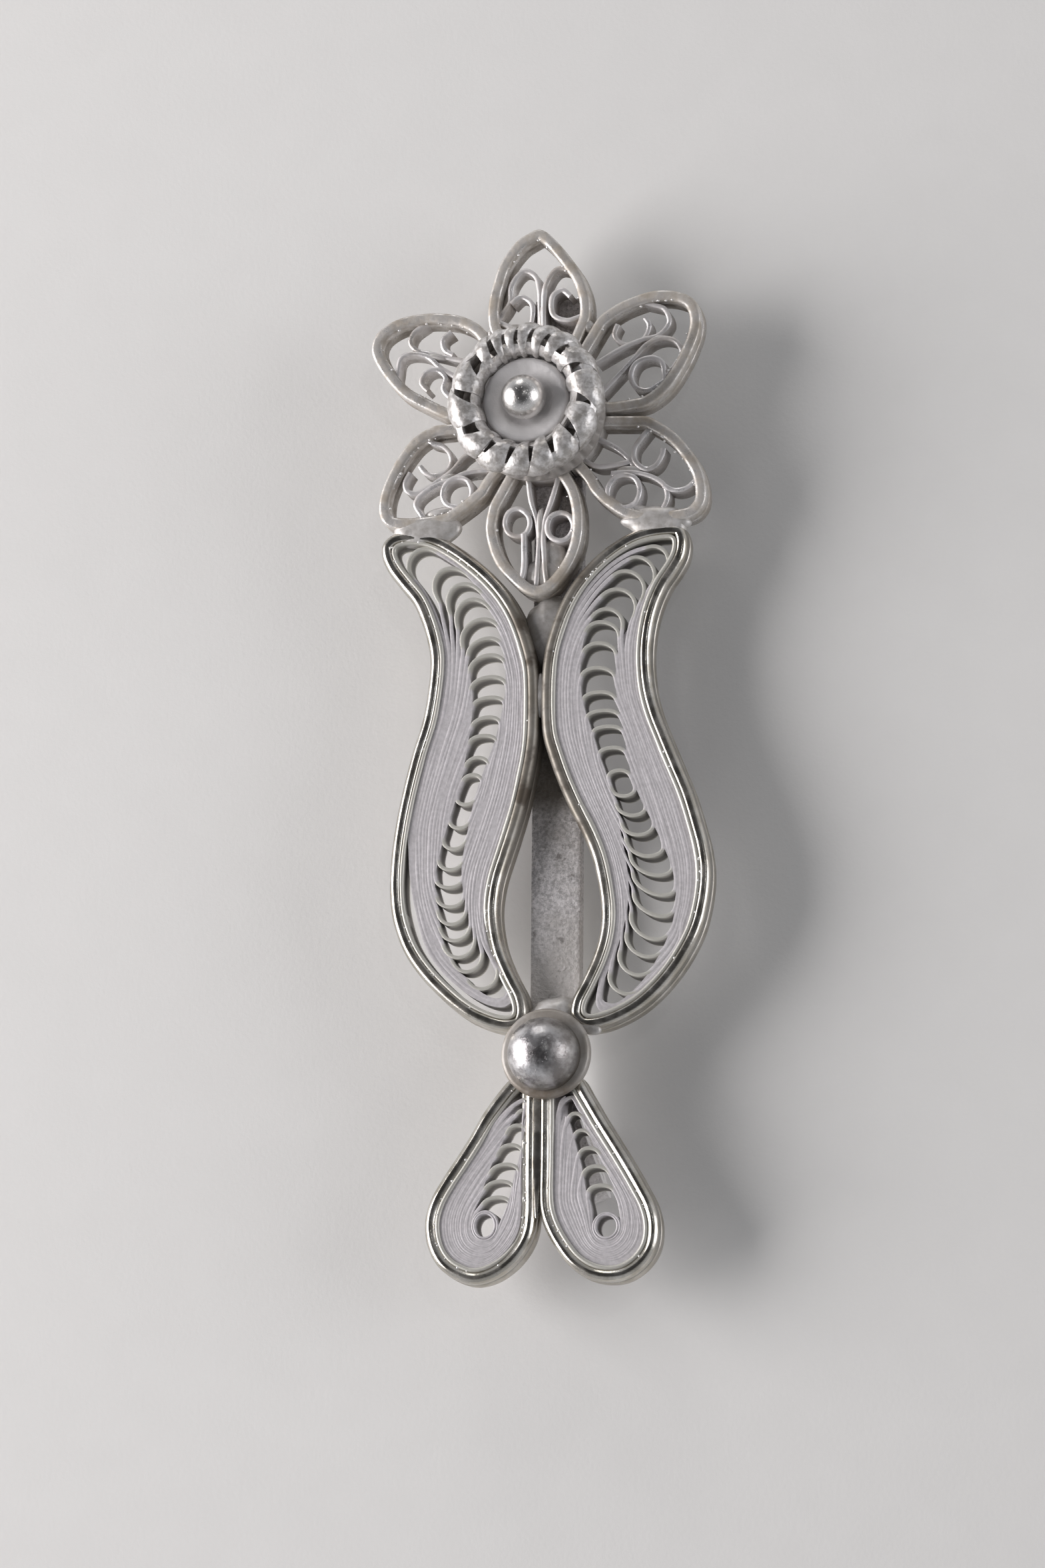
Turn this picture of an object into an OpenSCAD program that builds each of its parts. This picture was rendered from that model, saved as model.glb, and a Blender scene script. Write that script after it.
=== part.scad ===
// Saree pin in silver filigree, lying on its back.
// +Z is the front of the pin, +Y runs from the tail to the flower, millimetres.

/* [Levels] */
// Height of the backing strip's back above the surface
strip_back = 2; // [1.8:0.1:2.6]
// Thickness of the backing strip
strip_t = 0.8; // [0.6:0.1:1]
// Depth of the petal, leaf and tail frames
frame_d = 1.6; // [1.2:0.1:2]
// How far the fine wires lie below the frames' front edge
fill_drop = 0.25; // [0.1:0.05:0.4]
// Clearance between neighbouring pieces
gap = 0.05; // [0.04:0.01:0.08]

/* [Wires] */
// Width of a petal's frame wire
petal_frame_w = 0.6; // [0.5:0.05:0.7]
// Width of a leaf's or tail's frame wire
leaf_frame_w = 0.65; // [0.5:0.05:0.8]
// Thickness of a scroll wire in the petals
scroll_w = 0.24; // [0.2:0.02:0.3]
// Thickness of an arch wire in the leaves and tails
arch_w = 0.18; // [0.14:0.02:0.24]
// Radius of the solder that fills the corners between wires
solder_r = 0.09; // [0.05:0.01:0.12]

/* [Crown] */
// Outer radius of the coil ring
crown_r = 4.5; // [4.2:0.1:4.8]
// Radial width of the coil
crown_w = 1.9; // [1.6:0.1:2]
// Height of the coil
crown_h = 2.3; // [1.8:0.1:2.6]
// Turns of the ribbon in the coil
crown_turns = 16; // [12:1:18]
// Height of the plain seat under the coil
seat_h = 1.7; // [1.2:0.1:2]
// Radius of the cup
cup_r = 2.5; // [2.2:0.05:2.55]
// Radius of the polished ball
ball_r = 1.25; // [1:0.05:1.4]

/* [Dome] */
// Radius of the matte collar
collar_r = 2.5; // [2.3:0.05:2.6]
// Radius of the polished half ball
dome_r = 2; // [1.8:0.05:2.1]

/* [Back] */
// Width of the backing strip
strip_w = 2.8; // [2.4:0.1:3.2]
// Diameter of the pin
stem_d = 0.9; // [0.7:0.05:1]

/* [Hidden] */
$fn = 64;

silver = "gainsboro";
matte_silver = "lightgrey";
polished_silver = "whitesmoke";

strip_front = strip_back + strip_t;
frame_back = strip_front + gap;
frame_front = frame_back + frame_d;
hub = [-0.25, 19];
dome_at = [0.45, -17.45];
strip_x = 0.54;

// Rows of a wire are its points in order: [x, y]

petal_top_edge = [
    [-2.9, 23.6], [-3.25, 24.6], [-3.25, 25.7], [-3, 26.9], [-2.55, 28.2], [-1.7, 29.3], [-0.9, 29.8],
    [-0.4, 30], [0.1, 29.8], [0.8, 29.1], [1.55, 28.1], [2.2, 27.1], [2.6, 26], [2.7, 24.9], [2.45, 23.9],
    [0.8, 20.8], [-1.3, 20.8]
];
petal_top_wires = [
    [[-2.6, 25], [-2.05, 25.8], [-1.95, 26.8], [-1.3, 27.6], [-0.6, 27.3], [-0.35, 26.5], [-0.3, 25.4],
        [-0.3, 23.5]],
    [[-1.95, 25.7], [-1.4, 26.1], [-0.8, 25.7], [-0.7, 25], [-0.9, 24.3], [-1.6, 24.2], [-2.3, 24.5]],
    [[1.9, 26.9], [1.3, 27.5], [0.65, 27.55], [0.15, 26.9], [-0.05, 26], [-0.05, 23.5]],
    [[1.5, 25.9], [1, 26.3], [0.45, 25.9], [0.5, 24.9], [1.3, 24.5], [2.1, 24.7]]
];

petal_upper_right_edge = [
    [2.75, 24.1], [3.9, 25.1], [5.2, 25.65], [6.5, 25.9], [7.7, 25.75], [8.6, 25.25], [9, 24.3],
    [8.95, 23.3], [8.6, 22.3], [8.05, 21.2], [7.3, 20.1], [6.3, 19.3], [5.3, 19], [3, 19.1], [1.3, 21.4]
];
petal_upper_right_wires = [
    [[4.2, 24.1], [4, 23.5], [4.4, 23], [5, 22.9], [5.7, 23.2], [6, 23.9], [5.75, 24.4]],
    [[3, 21.9], [4.5, 22.7], [5.6, 23.1], [6.5, 23.3], [7.15, 24], [6.9, 24.8], [6.2, 25.1]],
    [[3.3, 20.1], [4.5, 21.35], [5.2, 22.1], [5.9, 22.8], [6.7, 23.1], [7.5, 22.9], [7.9, 22.2],
        [7.5, 21.5]],
    [[6.9, 21], [6.75, 21.7], [6.1, 22], [5.3, 21.75], [5, 21], [5.3, 20.3], [6, 20.1], [6.6, 20.4]]
];

petal_lower_right_edge = [
    [5.65, 18.65], [6.6, 18.25], [7.6, 17.5], [8.5, 16.4], [9.1, 15.3], [9.35, 14.2], [9.25, 13.3],
    [8.6, 12.6], [7.4, 12.4], [6, 12.4], [4.7, 12.75], [3.6, 13.5], [2.8, 14.3], [2.4, 15],
    [1.1, 17], [2.8, 18.7]
];
petal_lower_right_wires = [
    [[2.9, 17.6], [4.1, 16.95], [4.85, 16.25], [5.3, 15.5]],
    [[2.2, 16.4], [3, 15.9], [4, 15.9], [4.9, 16.05]],
    [[6, 17.85], [5.55, 17.3], [5.2, 16.75], [5.25, 16.05], [5.85, 15.55], [6.45, 15.75], [6.78, 16.3],
        [6.85, 16.7]],
    [[3.9, 15.4], [5.1, 15.4], [6.25, 15.05], [6.95, 14.5], [7.1, 13.8], [6.85, 13.2]],
    [[6.9, 14.5], [7.5, 14.2], [8.2, 14.3], [8.8, 14.8]],
    [[5.55, 14.3], [5.3, 13.6], [4.65, 13.35], [4, 13.6], [3.7, 14.3], [4, 15], [4.65, 15.25],
        [5.3, 15], [5.55, 14.3]]
];

petal_bottom_edge = [
    [-2.8, 14.8], [-3.15, 13.7], [-3.3, 12.6], [-3.05, 11.35], [-2.55, 10.3], [-1.8, 9.45],
    [-1.1, 8.8], [-0.35, 8.5], [0.4, 8.7], [1.15, 9.35], [1.85, 10.4], [2.25, 11.5], [2.35, 12.6],
    [2.25, 13.8], [1.8, 15.1], [0.4, 17], [-1.2, 17]
];
petal_bottom_wires = [
    [[-0.9, 15.4], [-0.75, 14.2], [-0.4, 13], [-0.25, 12], [-0.3, 11], [-0.35, 9.9], [-0.4, 9.2]],
    [[0.8, 15.2], [0.45, 14], [0.1, 13], [0, 12], [0.05, 11], [0.1, 10.2], [0.2, 9.4]],
    [[-0.75, 12.85], [-0.95, 12.3], [-1.45, 12.1], [-2, 12.35], [-2.2, 12.9], [-2, 13.5],
        [-1.45, 13.7], [-0.95, 13.4], [-0.75, 12.85]],
    [[1.75, 12.5], [1.5, 11.9], [1, 11.7], [0.45, 11.95], [0.25, 12.5], [0.45, 13.1], [1, 13.3],
        [1.5, 13.1], [1.75, 12.5]],
    [[-1.1, 12.2], [-1.05, 11], [-1.1, 10], [-1.3, 9.4]]
];

petal_lower_left_edge = [
    [-5.6, 18.9], [-6.6, 18.7], [-7.6, 18.1], [-8.4, 17.1], [-9, 16], [-9.4, 14.9], [-9.45, 13.8],
    [-9, 13.1], [-8, 12.87], [-6.7, 12.87], [-5.4, 13.05], [-4.3, 13.7], [-3.3, 14.5], [-2.9, 15.1],
    [-1.7, 17], [-3.2, 18.6]
];
petal_lower_left_wires = [
    [[-6.75, 18.1], [-6.4, 17.85], [-5.85, 17.65], [-5.45, 17.2], [-5.35, 16.65], [-5.7, 16.15],
        [-6.3, 15.95], [-6.85, 16.15], [-7.15, 16.55]],
    [[-3.6, 17.6], [-4.6, 16.9], [-5.3, 16.15], [-6, 15.65], [-7.2, 15], [-7.85, 15.1], [-8, 15.6],
        [-7.7, 16.2]],
    [[-2.8, 16.1], [-4.3, 16], [-5.2, 15.7], [-6.3, 15.3], [-7.1, 14.8], [-7.35, 14.3],
        [-7.1, 13.8], [-6.7, 13.2]],
    [[-4.1, 14.85], [-4.35, 14.2], [-4.95, 14], [-5.6, 14.25], [-5.8, 14.85], [-5.55, 15.45],
        [-4.95, 15.7], [-4.35, 15.5], [-4.1, 14.85]]
];

petal_upper_left_edge = [
    [-3.3, 24.1], [-4.5, 25.05], [-5.8, 25.4], [-7.3, 25.45], [-8.7, 25.15], [-9.7, 24.5],
    [-10.05, 23.6], [-9.8, 22.7], [-9.1, 21.6], [-8.2, 20.6], [-7.1, 19.9], [-6.1, 19.35],
    [-5.3, 19.05], [-3.4, 19.2], [-1.8, 21.4]
];
petal_upper_left_wires = [
    [[-6.9, 24.9], [-7.6, 24.4], [-7.8, 23.8], [-7.3, 23.3], [-6.4, 23.05], [-5.4, 22.75],
        [-3.4, 22.2]],
    [[-5.4, 24.3], [-5.9, 23.9], [-5.8, 23.3], [-5.3, 22.95]],
    [[-8.5, 22.2], [-8.35, 22.9], [-7.8, 23.15], [-6.8, 22.95], [-6.1, 22.3], [-5.4, 21.8],
        [-3.6, 20.8]],
    [[-6.7, 20.9], [-7.1, 21.4], [-6.8, 22], [-6.2, 22.1], [-5.7, 21.6], [-5.8, 20.9], [-5.2, 20.2]]
];

// Sector of the flower that each petal keeps to: [first angle, last angle]
petal_top_sector = [59.5, 120.5];
petal_upper_right_sector = [-3, 59.5];
petal_lower_right_sector = [-61, -3];
petal_bottom_sector = [-120, -61];
petal_lower_left_sector = [181, 240];
petal_upper_left_sector = [120.5, 181];

leaf_left_edge = [
    [-8, 12.8], [-8.8, 12.6], [-9.3, 12.05], [-9.3, 11.3], [-8.9, 10.4], [-8.15, 9.4], [-7.45, 8.5],
    [-7, 7.5], [-6.65, 6.4], [-6.45, 5.2], [-6.55, 3.6], [-6.85, 1.8], [-7.4, 0], [-7.9, -2],
    [-8.3, -4], [-8.55, -6], [-8.6, -7.8], [-8.4, -9.5], [-7.8, -11.2], [-6.9, -12.6],
    [-5.7, -13.9], [-4.4, -15], [-3.2, -15.65], [-2, -16], [-1, -15.85], [-0.6, -15.1], [-0.75, -14],
    [-1.35, -12.8], [-1.95, -11.4], [-2.25, -10], [-2.3, -8.8], [-2.1, -7.5], [-1.7, -6.2],
    [-1.25, -4.8], [-0.85, -3.4], [-0.5, -1.8], [-0.25, -0.4], [-0.13, 1], [-0.13, 3.4], [-0.25, 4.8],
    [-0.65, 6.3], [-1.2, 7.7], [-1.9, 8.9], [-2.8, 10], [-3.8, 10.95], [-4.9, 11.8], [-6, 12.45],
    [-7, 12.76]
];
leaf_left_channel = [
    [-7.75, 11.6], [-7.65, 10.9], [-7.3, 10.1], [-6.7, 9.1], [-5.9, 7.9], [-5.1, 6.7], [-4.5, 5.6],
    [-4.15, 4.4], [-3.95, 3.2], [-3.95, 2], [-4.1, 0.8], [-4.35, -0.8], [-4.7, -2.4], [-5.2, -4],
    [-5.65, -5.6], [-5.95, -7.2], [-5.9, -8.6], [-5.65, -10], [-5.3, -11.3], [-4.6, -12.5],
    [-3.6, -13.5], [-2.6, -14.1], [-1.95, -14], [-1.9, -13.3], [-2.3, -12.4], [-2.8, -11.5],
    [-3.4, -10.6], [-4, -9.3], [-4.35, -8], [-4.45, -6.6], [-4.2, -5], [-3.85, -3.2], [-3.3, -1.4],
    [-2.7, 0.2], [-2.3, 1.8], [-2.05, 3.4], [-2.15, 5.2], [-2.5, 6.8], [-3.1, 8.2], [-4, 9.5],
    [-5, 10.5], [-6, 11.3], [-6.9, 11.75]
];
// Open slit between a leaf's fill and its frame: [x, y, width]
leaf_left_slit = [
    [-5.5, -12.75, 0.2], [-5.1, -13.15, 0.28], [-4.6, -13.6, 0.4], [-4.1, -14.05, 0.42],
    [-3.5, -14.45, 0.46], [-2.85, -14.77, 0.48], [-2.2, -15, 0.5], [-1.6, -14.98, 0.5]
];
leaf_right_slit = [
    [7.5, -12.95, 0.2], [6.9, -13.65, 0.24], [6.2, -14.28, 0.26], [5.5, -14.77, 0.28],
    [4.8, -15.12, 0.32], [4.1, -15.34, 0.4], [3.45, -15.38, 0.5], [3, -15.28, 0.5]
];
// Arches of one channel, from the top: [left foot x, left foot y, right foot x, right foot y, rise]
leaf_left_arches = [
    [-7.35, 9.9, -6, 11.4, 1.15], [-5.85, 8.5, -4.2, 9.95, 1.4], [-5.2, 7.7, -3.4, 8.85, 1.35],
    [-4.8, 6.9, -2.9, 7.85, 1.3], [-4.5, 5.8, -2.5, 6.95, 1.05], [-4.25, 5.3, -2.3, 5.9, 0.7],
    [-4.15, 4.4, -2.1, 4.85, 0.72], [-4.1, 3.4, -2, 3.6, 0.6], [-3.95, 2.5, -2.1, 2.6, 0.38],
    [-4, 1.25, -2.3, 1.45, 0.45], [-4.15, 0.35, -2.45, 0.35, 0.42], [-4.35, -1.05, -2.9, -1.05, 0.6],
    [-4.5, -1.85, -3.3, -1.85, 0.42],
    [-4.85, -2.75, -3.65, -2.75, -0.4], [-5.25, -3.9, -4, -4.05, -0.5],
    [-5.6, -5, -4.2, -5.1, -0.6], [-5.85, -6.1, -4.35, -6.3, -0.6], [-5.95, -7.3, -4.4, -7.4, -0.45],
    [-5.9, -8.2, -4.3, -8.4, -0.6], [-5.8, -9, -4.15, -9.1, -0.85], [-5.7, -9.9, -3.9, -9.9, -0.92],
    [-5.5, -10.9, -3.65, -10.7, -0.98], [-5, -11.8, -3.25, -11.4, -1],
    [-4.1, -13, -2.4, -12.3, -0.95]
];

leaf_right_edge = [
    [7.2, 12.33], [7.9, 12.2], [8.2, 11.75], [8.3, 11.1], [8.15, 10.3], [7.7, 9.5], [7.15, 8.7],
    [6.7, 7.7], [6.4, 6.6], [6.25, 5.4], [6.25, 4.2], [6.4, 2.9], [6.75, 1.6], [7.3, 0.2],
    [7.95, -1.4], [8.6, -3], [9.15, -4.8], [9.5, -6.2], [9.65, -7.6], [9.5, -9.2], [9.05, -10.9],
    [8.2, -12.5], [7.2, -13.8], [6, -14.9], [4.8, -15.6], [3.5, -16.05], [2.4, -16.05],
    [1.75, -15.4], [1.8, -14.4], [2.35, -13.3], [2.95, -12], [3.3, -10.8], [3.4, -9.6], [3.25, -8.2],
    [2.9, -6.6], [2.35, -5.2], [1.6, -3.7], [0.9, -2.1], [0.4, -0.7], [0.05, 0.5], [-0.07, 1.8],
    [-0.07, 3.6], [0.05, 5.1], [0.35, 6.4], [0.85, 7.8], [1.55, 9.1], [2.5, 10.25], [3.6, 11.2],
    [4.8, 11.9], [6, 12.25]
];
leaf_right_channel = [
    [7.5, 11.45], [7.7, 10.9], [7.4, 10.1], [6.8, 9.4], [6.1, 8.6], [5.5, 7.6], [4.9, 6.6],
    [4.45, 5.6], [4.25, 4.4], [4.2, 3.2], [4.4, 2], [4.65, 0.8], [4.85, -0.6], [5.15, -2],
    [5.65, -3.3], [6.3, -4.6], [6.9, -5.9], [7.4, -7.2], [7.65, -8.6], [7.55, -9.9], [7.2, -11.1],
    [6.6, -12.3], [5.95, -13.3], [5.1, -14.15], [4.3, -14.68], [3.6, -14.5], [3.5, -13.95],
    [3.75, -13.1], [4.2, -12], [4.6, -10.9], [4.9, -9.6], [5, -8.2], [4.85, -6.8], [4.6, -5.4],
    [4.25, -3.8], [3.85, -2.2], [3.35, -0.8], [2.85, 0.8], [2.4, 2.2], [2.2, 3.6], [2.25, 5],
    [2.5, 6.4], [2.95, 7.6], [3.6, 8.8], [4.5, 10], [5.5, 11], [6.6, 11.5]
];
leaf_right_arches = [
    [5.9, 11, 6.75, 9.4, 0.85], [4.9, 10.4, 6.1, 8.7, 0.85], [4, 9.5, 5.55, 7.9, 1],
    [3.3, 8.3, 5.1, 6.9, 1.15], [2.75, 7.1, 4.5, 6.2, 1], [2.4, 6.3, 4.4, 5.9, 0.8],
    [2.3, 5.15, 4.25, 4.9, 0.68], [2.2, 3.8, 4.2, 3.6, 0.6], [2.3, 2.5, 4.2, 2.5, 0.4],
    [2.5, 1.45, 4.45, 1.5, 0.36], [2.85, 0.6, 4.65, 0.6, 0.32], [3.2, -0.65, 4.8, -0.6, 0.33],
    [3.75, -1.95, 5.05, -1.9, 0.33],
    [3.95, -2.5, 5.4, -2.7, -0.5], [4.25, -3.3, 6, -3.8, -0.65], [4.55, -4.4, 6.45, -4.75, -0.75],
    [4.85, -5.3, 7, -6.1, -0.8], [5.1, -6.3, 7.5, -7.3, -0.75], [5.25, -7.3, 7.65, -8.5, -0.72],
    [5.3, -8.4, 7.55, -9.7, -0.72], [5.2, -9.5, 7.25, -10.95, -0.85],
    [4.95, -10.6, 6.85, -11.9, -0.82], [4.6, -11.6, 6.3, -12.9, -0.85],
    [4, -12.9, 5.5, -14, -0.65]
];

tail_left_edge = [
    [-1.6, -18.6], [-2.4, -19.5], [-3.2, -20.6], [-3.9, -21.8], [-4.65, -22.95], [-5.4, -24.05],
    [-6.05, -25.2], [-6.35, -26.4], [-6.2, -27.7], [-5.65, -28.8], [-4.8, -29.5], [-3.7, -29.9],
    [-2.6, -29.75], [-1.6, -29.2], [-0.8, -28.4], [-0.25, -27.4], [-0.05, -26.2], [-0.05, -24],
    [-0.05, -21.6], [-0.05, -19.4], [-0.1, -18.4], [-0.8, -18]
];
tail_left_channel = [
    [-0.7, -19.9], [-1.15, -20.4], [-1.6, -21.3], [-2.1, -22.4], [-2.6, -23.4], [-2.95, -24.4],
    [-3.1, -25.2], [-2.8, -25.8], [-2.2, -26.4], [-1.9, -26.5], [-1.75, -25.8], [-1.5, -25],
    [-1.3, -24], [-1, -22.9], [-0.8, -21.8], [-0.6, -20.8], [-0.45, -20]
];
tail_left_arches = [
    [-1.2, -20.7, -0.45, -20.7, 0.35], [-1.8, -21.8, -0.6, -21.6, 0.5],
    [-2.3, -22.9, -0.8, -22.8, 0.58], [-2.7, -23.9, -1, -23.8, 0.5], [-3, -24.8, -1.3, -24.7, 0.48],
    [-3.1, -25.6, -1.5, -25.5, 0.4]
];
// Round eye near a tail's lower end: [x, y, half width, half height]
tail_left_eye = [-2.95, -26.7, 0.52, 0.62];

tail_right_edge = [
    [2.3, -18.6], [2.95, -19.6], [3.65, -20.8], [4.4, -22], [5.2, -23.3], [5.95, -24.6],
    [6.55, -25.8], [6.8, -27], [6.65, -28.2], [6, -29.2], [5, -29.85], [3.9, -30], [2.8, -29.75],
    [1.8, -29.1], [1, -28.1], [0.35, -26.9], [0.02, -25.6], [0.02, -23.4], [0.02, -21.2],
    [0.02, -19.4], [0.1, -18.4], [1.1, -18]
];
tail_right_channel = [
    [1.7, -19.9], [1.6, -20.6], [1.9, -21.6], [2.2, -22.7], [2.5, -23.8], [2.7, -24.9],
    [3, -25.6], [3.8, -25.8], [4.4, -26.3], [4.65, -26.4], [4.5, -25.7], [4.2, -24.8],
    [3.8, -23.9], [3.3, -22.9], [2.8, -21.8], [2.3, -20.7], [2, -20]
];
tail_right_arches = [
    [1.7, -20.9, 2.5, -21, 0.3], [2, -21.9, 2.95, -22, 0.35], [2.25, -23, 3.5, -23.1, 0.45],
    [2.5, -24.1, 4, -24.1, 0.48], [2.75, -25.1, 4.3, -25.1, 0.42]
];
tail_right_eye = [3.85, -26.95, 0.56, 0.58];

crown_bottom = frame_front + 2 * gap + seat_h;
ring_r = crown_r - crown_w / 2;
ribbon_t = 0.2;
ribbon_w = 0.9;
coil_steps = 20;
cup_d = 1.5;
cup_wall = 0.4;
dish_r = 4;
collar_h = 0.6;

stem_z = 1.15;
stem_top = [strip_x, 22.4];
stem_tip = [1.21, -22.4];
taper_l = 2;
point_d = 0.3;
foot_t = 0.6;
foot_w = 2.6;
foot_l = 3.2;
strip_top_y = 26.2;
bend_y = -20.8;
catch_w = 2.4;
catch_lean = 17;
catch_fall = 4.2;
inner_bend = 1;
outer_bend = 1.4;
end_t = 0.9;
hook_l = 3;
catch_lap = 0.6;
sunk = 0.06;
// The model is moved sideways so that its box is centred on the origin
middle_x = -0.2;

// Catmull-Rom blend of four rows
function blend(a, b, c, d, t) =
    (2 * b + (c - a) * t + (2 * a - 5 * b + 4 * c - d) * t * t + (3 * b - a - 3 * c + d) * t * t * t) / 2;

// Smooth closed curve through a table's points
function loop(p, steps = 3) =
    let (n = len(p))
    [for (i = [0 : n - 1]) for (k = [0 : steps - 1])
        blend(p[(i + n - 1) % n], p[i], p[(i + 1) % n], p[(i + 2) % n], k / steps)];

// Smooth open curve through a table's points
function path(p, steps = 3) =
    let (last = len(p) - 1)
    concat(
        [for (i = [0 : last - 1]) for (k = [0 : steps - 1])
            blend(p[max(i - 1, 0)], p[i], p[i + 1], p[min(i + 2, last)], k / steps)],
        [p[last]]);

// Half ellipse between two feet
function arch(row, steps = 8) =
    let (
        a = [row[0], row[1]],
        b = [row[2], row[3]],
        middle = (a + b) / 2,
        half = (b - a) / 2,
        up = [-half[1], half[0]] / norm(half) * row[4]
    )
    [for (k = [0 : steps]) middle - half * cos(180 * k / steps) + up * sin(180 * k / steps)];

function across(p, i) =
    let (d = p[min(i + 1, len(p) - 1)] - p[max(i - 1, 0)])
    [-d[1], d[0]] / norm([d[0], d[1]]);

// Band along a path of rows [x, y, width], with round ends
module band(p) {
    last = len(p) - 1;
    polygon([for (s = [1, -1]) for (k = [0 : last])
        let (i = s > 0 ? k : last - k)
            [p[i][0], p[i][1]] + across(p, i) * s * p[i][2] / 2]);
    for (i = [0, last])
        translate([p[i][0], p[i][1]])
            circle(d = p[i][2], $fn = 10);
}

module wire(p, w) band([for (q = p) [q[0], q[1], w]]);

// Rounds the inner corners where wires meet, as solder does
module soldered() {
    offset(r = -solder_r, $fn = 8)
        offset(r = solder_r, $fn = 8)
            children();
}

// Flat sector between two angles, held back from its neighbours
module sector(angles, reach) {
    offset(delta = -gap / 2)
        polygon([for (a = [angles[0], (angles[0] + angles[1]) / 2, angles[1]])
            reach * [cos(a), sin(a)], [0, 0]]);
}

// Plate whose inner field lies lower than its frame
module framed_plate(edge, frame_w) {
    difference() {
        translate([0, 0, frame_back])
            linear_extrude(frame_d)
                children();
        translate([0, 0, frame_front - fill_drop])
            linear_extrude(frame_d)
                offset(delta = -frame_w)
                    polygon(loop(edge));
    }
}

module petal(edge, wires, angles) {
    base_r = 4.1;
    eye_r = 2;
    reach = 30;
    color(silver)
        framed_plate(edge, petal_frame_w)
            intersection() {
                translate(hub)
                    sector(angles, reach);
                soldered() {
                    difference() {
                        polygon(loop(edge));
                        offset(delta = -petal_frame_w)
                            polygon(loop(edge));
                    }
                    intersection() {
                        polygon(loop(edge));
                        for (w = wires)
                            wire(path(w), scroll_w);
                    }
                    intersection() {
                        polygon(loop(edge));
                        translate(hub)
                            difference() {
                                circle(base_r);
                                circle(eye_r);
                            }
                    }
                }
            }
}

module petal_top() petal(petal_top_edge, petal_top_wires, petal_top_sector);
module petal_upper_right()
    petal(petal_upper_right_edge, petal_upper_right_wires, petal_upper_right_sector);
module petal_lower_right()
    petal(petal_lower_right_edge, petal_lower_right_wires, petal_lower_right_sector);
module petal_bottom() petal(petal_bottom_edge, petal_bottom_wires, petal_bottom_sector);
module petal_lower_left() petal(petal_lower_left_edge, petal_lower_left_wires, petal_lower_left_sector);
module petal_upper_left() petal(petal_upper_left_edge, petal_upper_left_wires, petal_upper_left_sector);

// Frame filled with two bundles of wire, and arches across the channel between them
module filled_leaf(edge, channel, arches) {
    color(silver)
        framed_plate(edge, leaf_frame_w)
            soldered() {
                difference() {
                    polygon(loop(edge));
                    polygon(loop(channel));
                    children();
                }
                intersection() {
                    offset(delta = arch_w)
                        polygon(loop(channel));
                    for (a = arches)
                        wire(arch(a), arch_w);
                }
            }
}

module leaf_left() {
    filled_leaf(leaf_left_edge, leaf_left_channel, leaf_left_arches)
        band(path(leaf_left_slit));
}

module leaf_right() {
    filled_leaf(leaf_right_edge, leaf_right_channel, leaf_right_arches)
        band(path(leaf_right_slit));
}

module eye(row) {
    translate([row[0], row[1]])
        scale([row[2], row[3]])
            circle(1, $fn = 24);
}

module tail_left() {
    filled_leaf(tail_left_edge, tail_left_channel, tail_left_arches)
        eye(tail_left_eye);
}

module tail_right() {
    filled_leaf(tail_right_edge, tail_right_channel, tail_right_arches)
        eye(tail_right_eye);
}

module crown_seat() {
    foot_r = 3.9;
    rim_h = 0.4;
    color(matte_silver)
        translate([hub[0], hub[1], frame_front + gap])
            rotate_extrude()
                polygon([[0, 0], [foot_r, 0], [foot_r, rim_h], [ring_r, seat_h], [0, seat_h]]);
}

// One corner of the ribbon at a step along the coil
function ribbon_corner(i, across, out) =
    let (
        n = crown_turns * coil_steps,
        around = 360 * i / n,
        turn = 360 * i / coil_steps,
        r = ring_r + (crown_w / 2 - ribbon_t / 2 + out) * cos(turn),
        z = (crown_h / 2 - ribbon_t / 2 + out) * sin(turn),
        slip = across / ring_r * 180 / PI
    )
    [r * cos(around + slip), r * sin(around + slip), z];

module crown_coil() {
    n = crown_turns * coil_steps;
    points = [for (i = [0 : n - 1])
        for (c = [[-1, -1], [1, -1], [1, 1], [-1, 1]])
            ribbon_corner(i, c[0] * ribbon_w / 2, c[1] * ribbon_t / 2)];
    faces = [for (i = [0 : n - 1]) for (k = [0 : 3])
        let (a = 4 * i + k, b = 4 * i + (k + 1) % 4, c = 4 * ((i + 1) % n))
            for (f = [[a, b, c + (k + 1) % 4], [a, c + (k + 1) % 4, c + k]]) f];
    color(silver)
        translate([hub[0], hub[1], crown_bottom + crown_h / 2])
            polyhedron(points, faces);
}

module centre_cup() {
    color(matte_silver)
        translate([hub[0], hub[1], crown_bottom])
            difference() {
                cylinder(r = cup_r, h = cup_d);
                translate([0, 0, cup_wall + dish_r])
                    sphere(r = dish_r);
            }
}

module centre_ball() {
    color(polished_silver)
        translate([hub[0], hub[1], crown_bottom + cup_wall + gap + ball_r])
            sphere(r = ball_r);
}

module dome_collar() {
    round_r = 0.25;
    color(matte_silver)
        translate([dome_at[0], dome_at[1], frame_front + gap])
            rotate_extrude() {
                square([collar_r - round_r, collar_h]);
                square([collar_r, collar_h - round_r]);
                translate([collar_r - round_r, collar_h - round_r])
                    circle(round_r, $fn = 32);
            }
}

module dome() {
    rim_h = 0.3;
    color(polished_silver)
        translate([dome_at[0], dome_at[1], frame_front + 2 * gap + collar_h])
            rotate_extrude() {
                square([dome_r, rim_h]);
                translate([0, rim_h])
                    intersection() {
                        circle(dome_r);
                        square(dome_r);
                    }
            }
}

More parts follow.
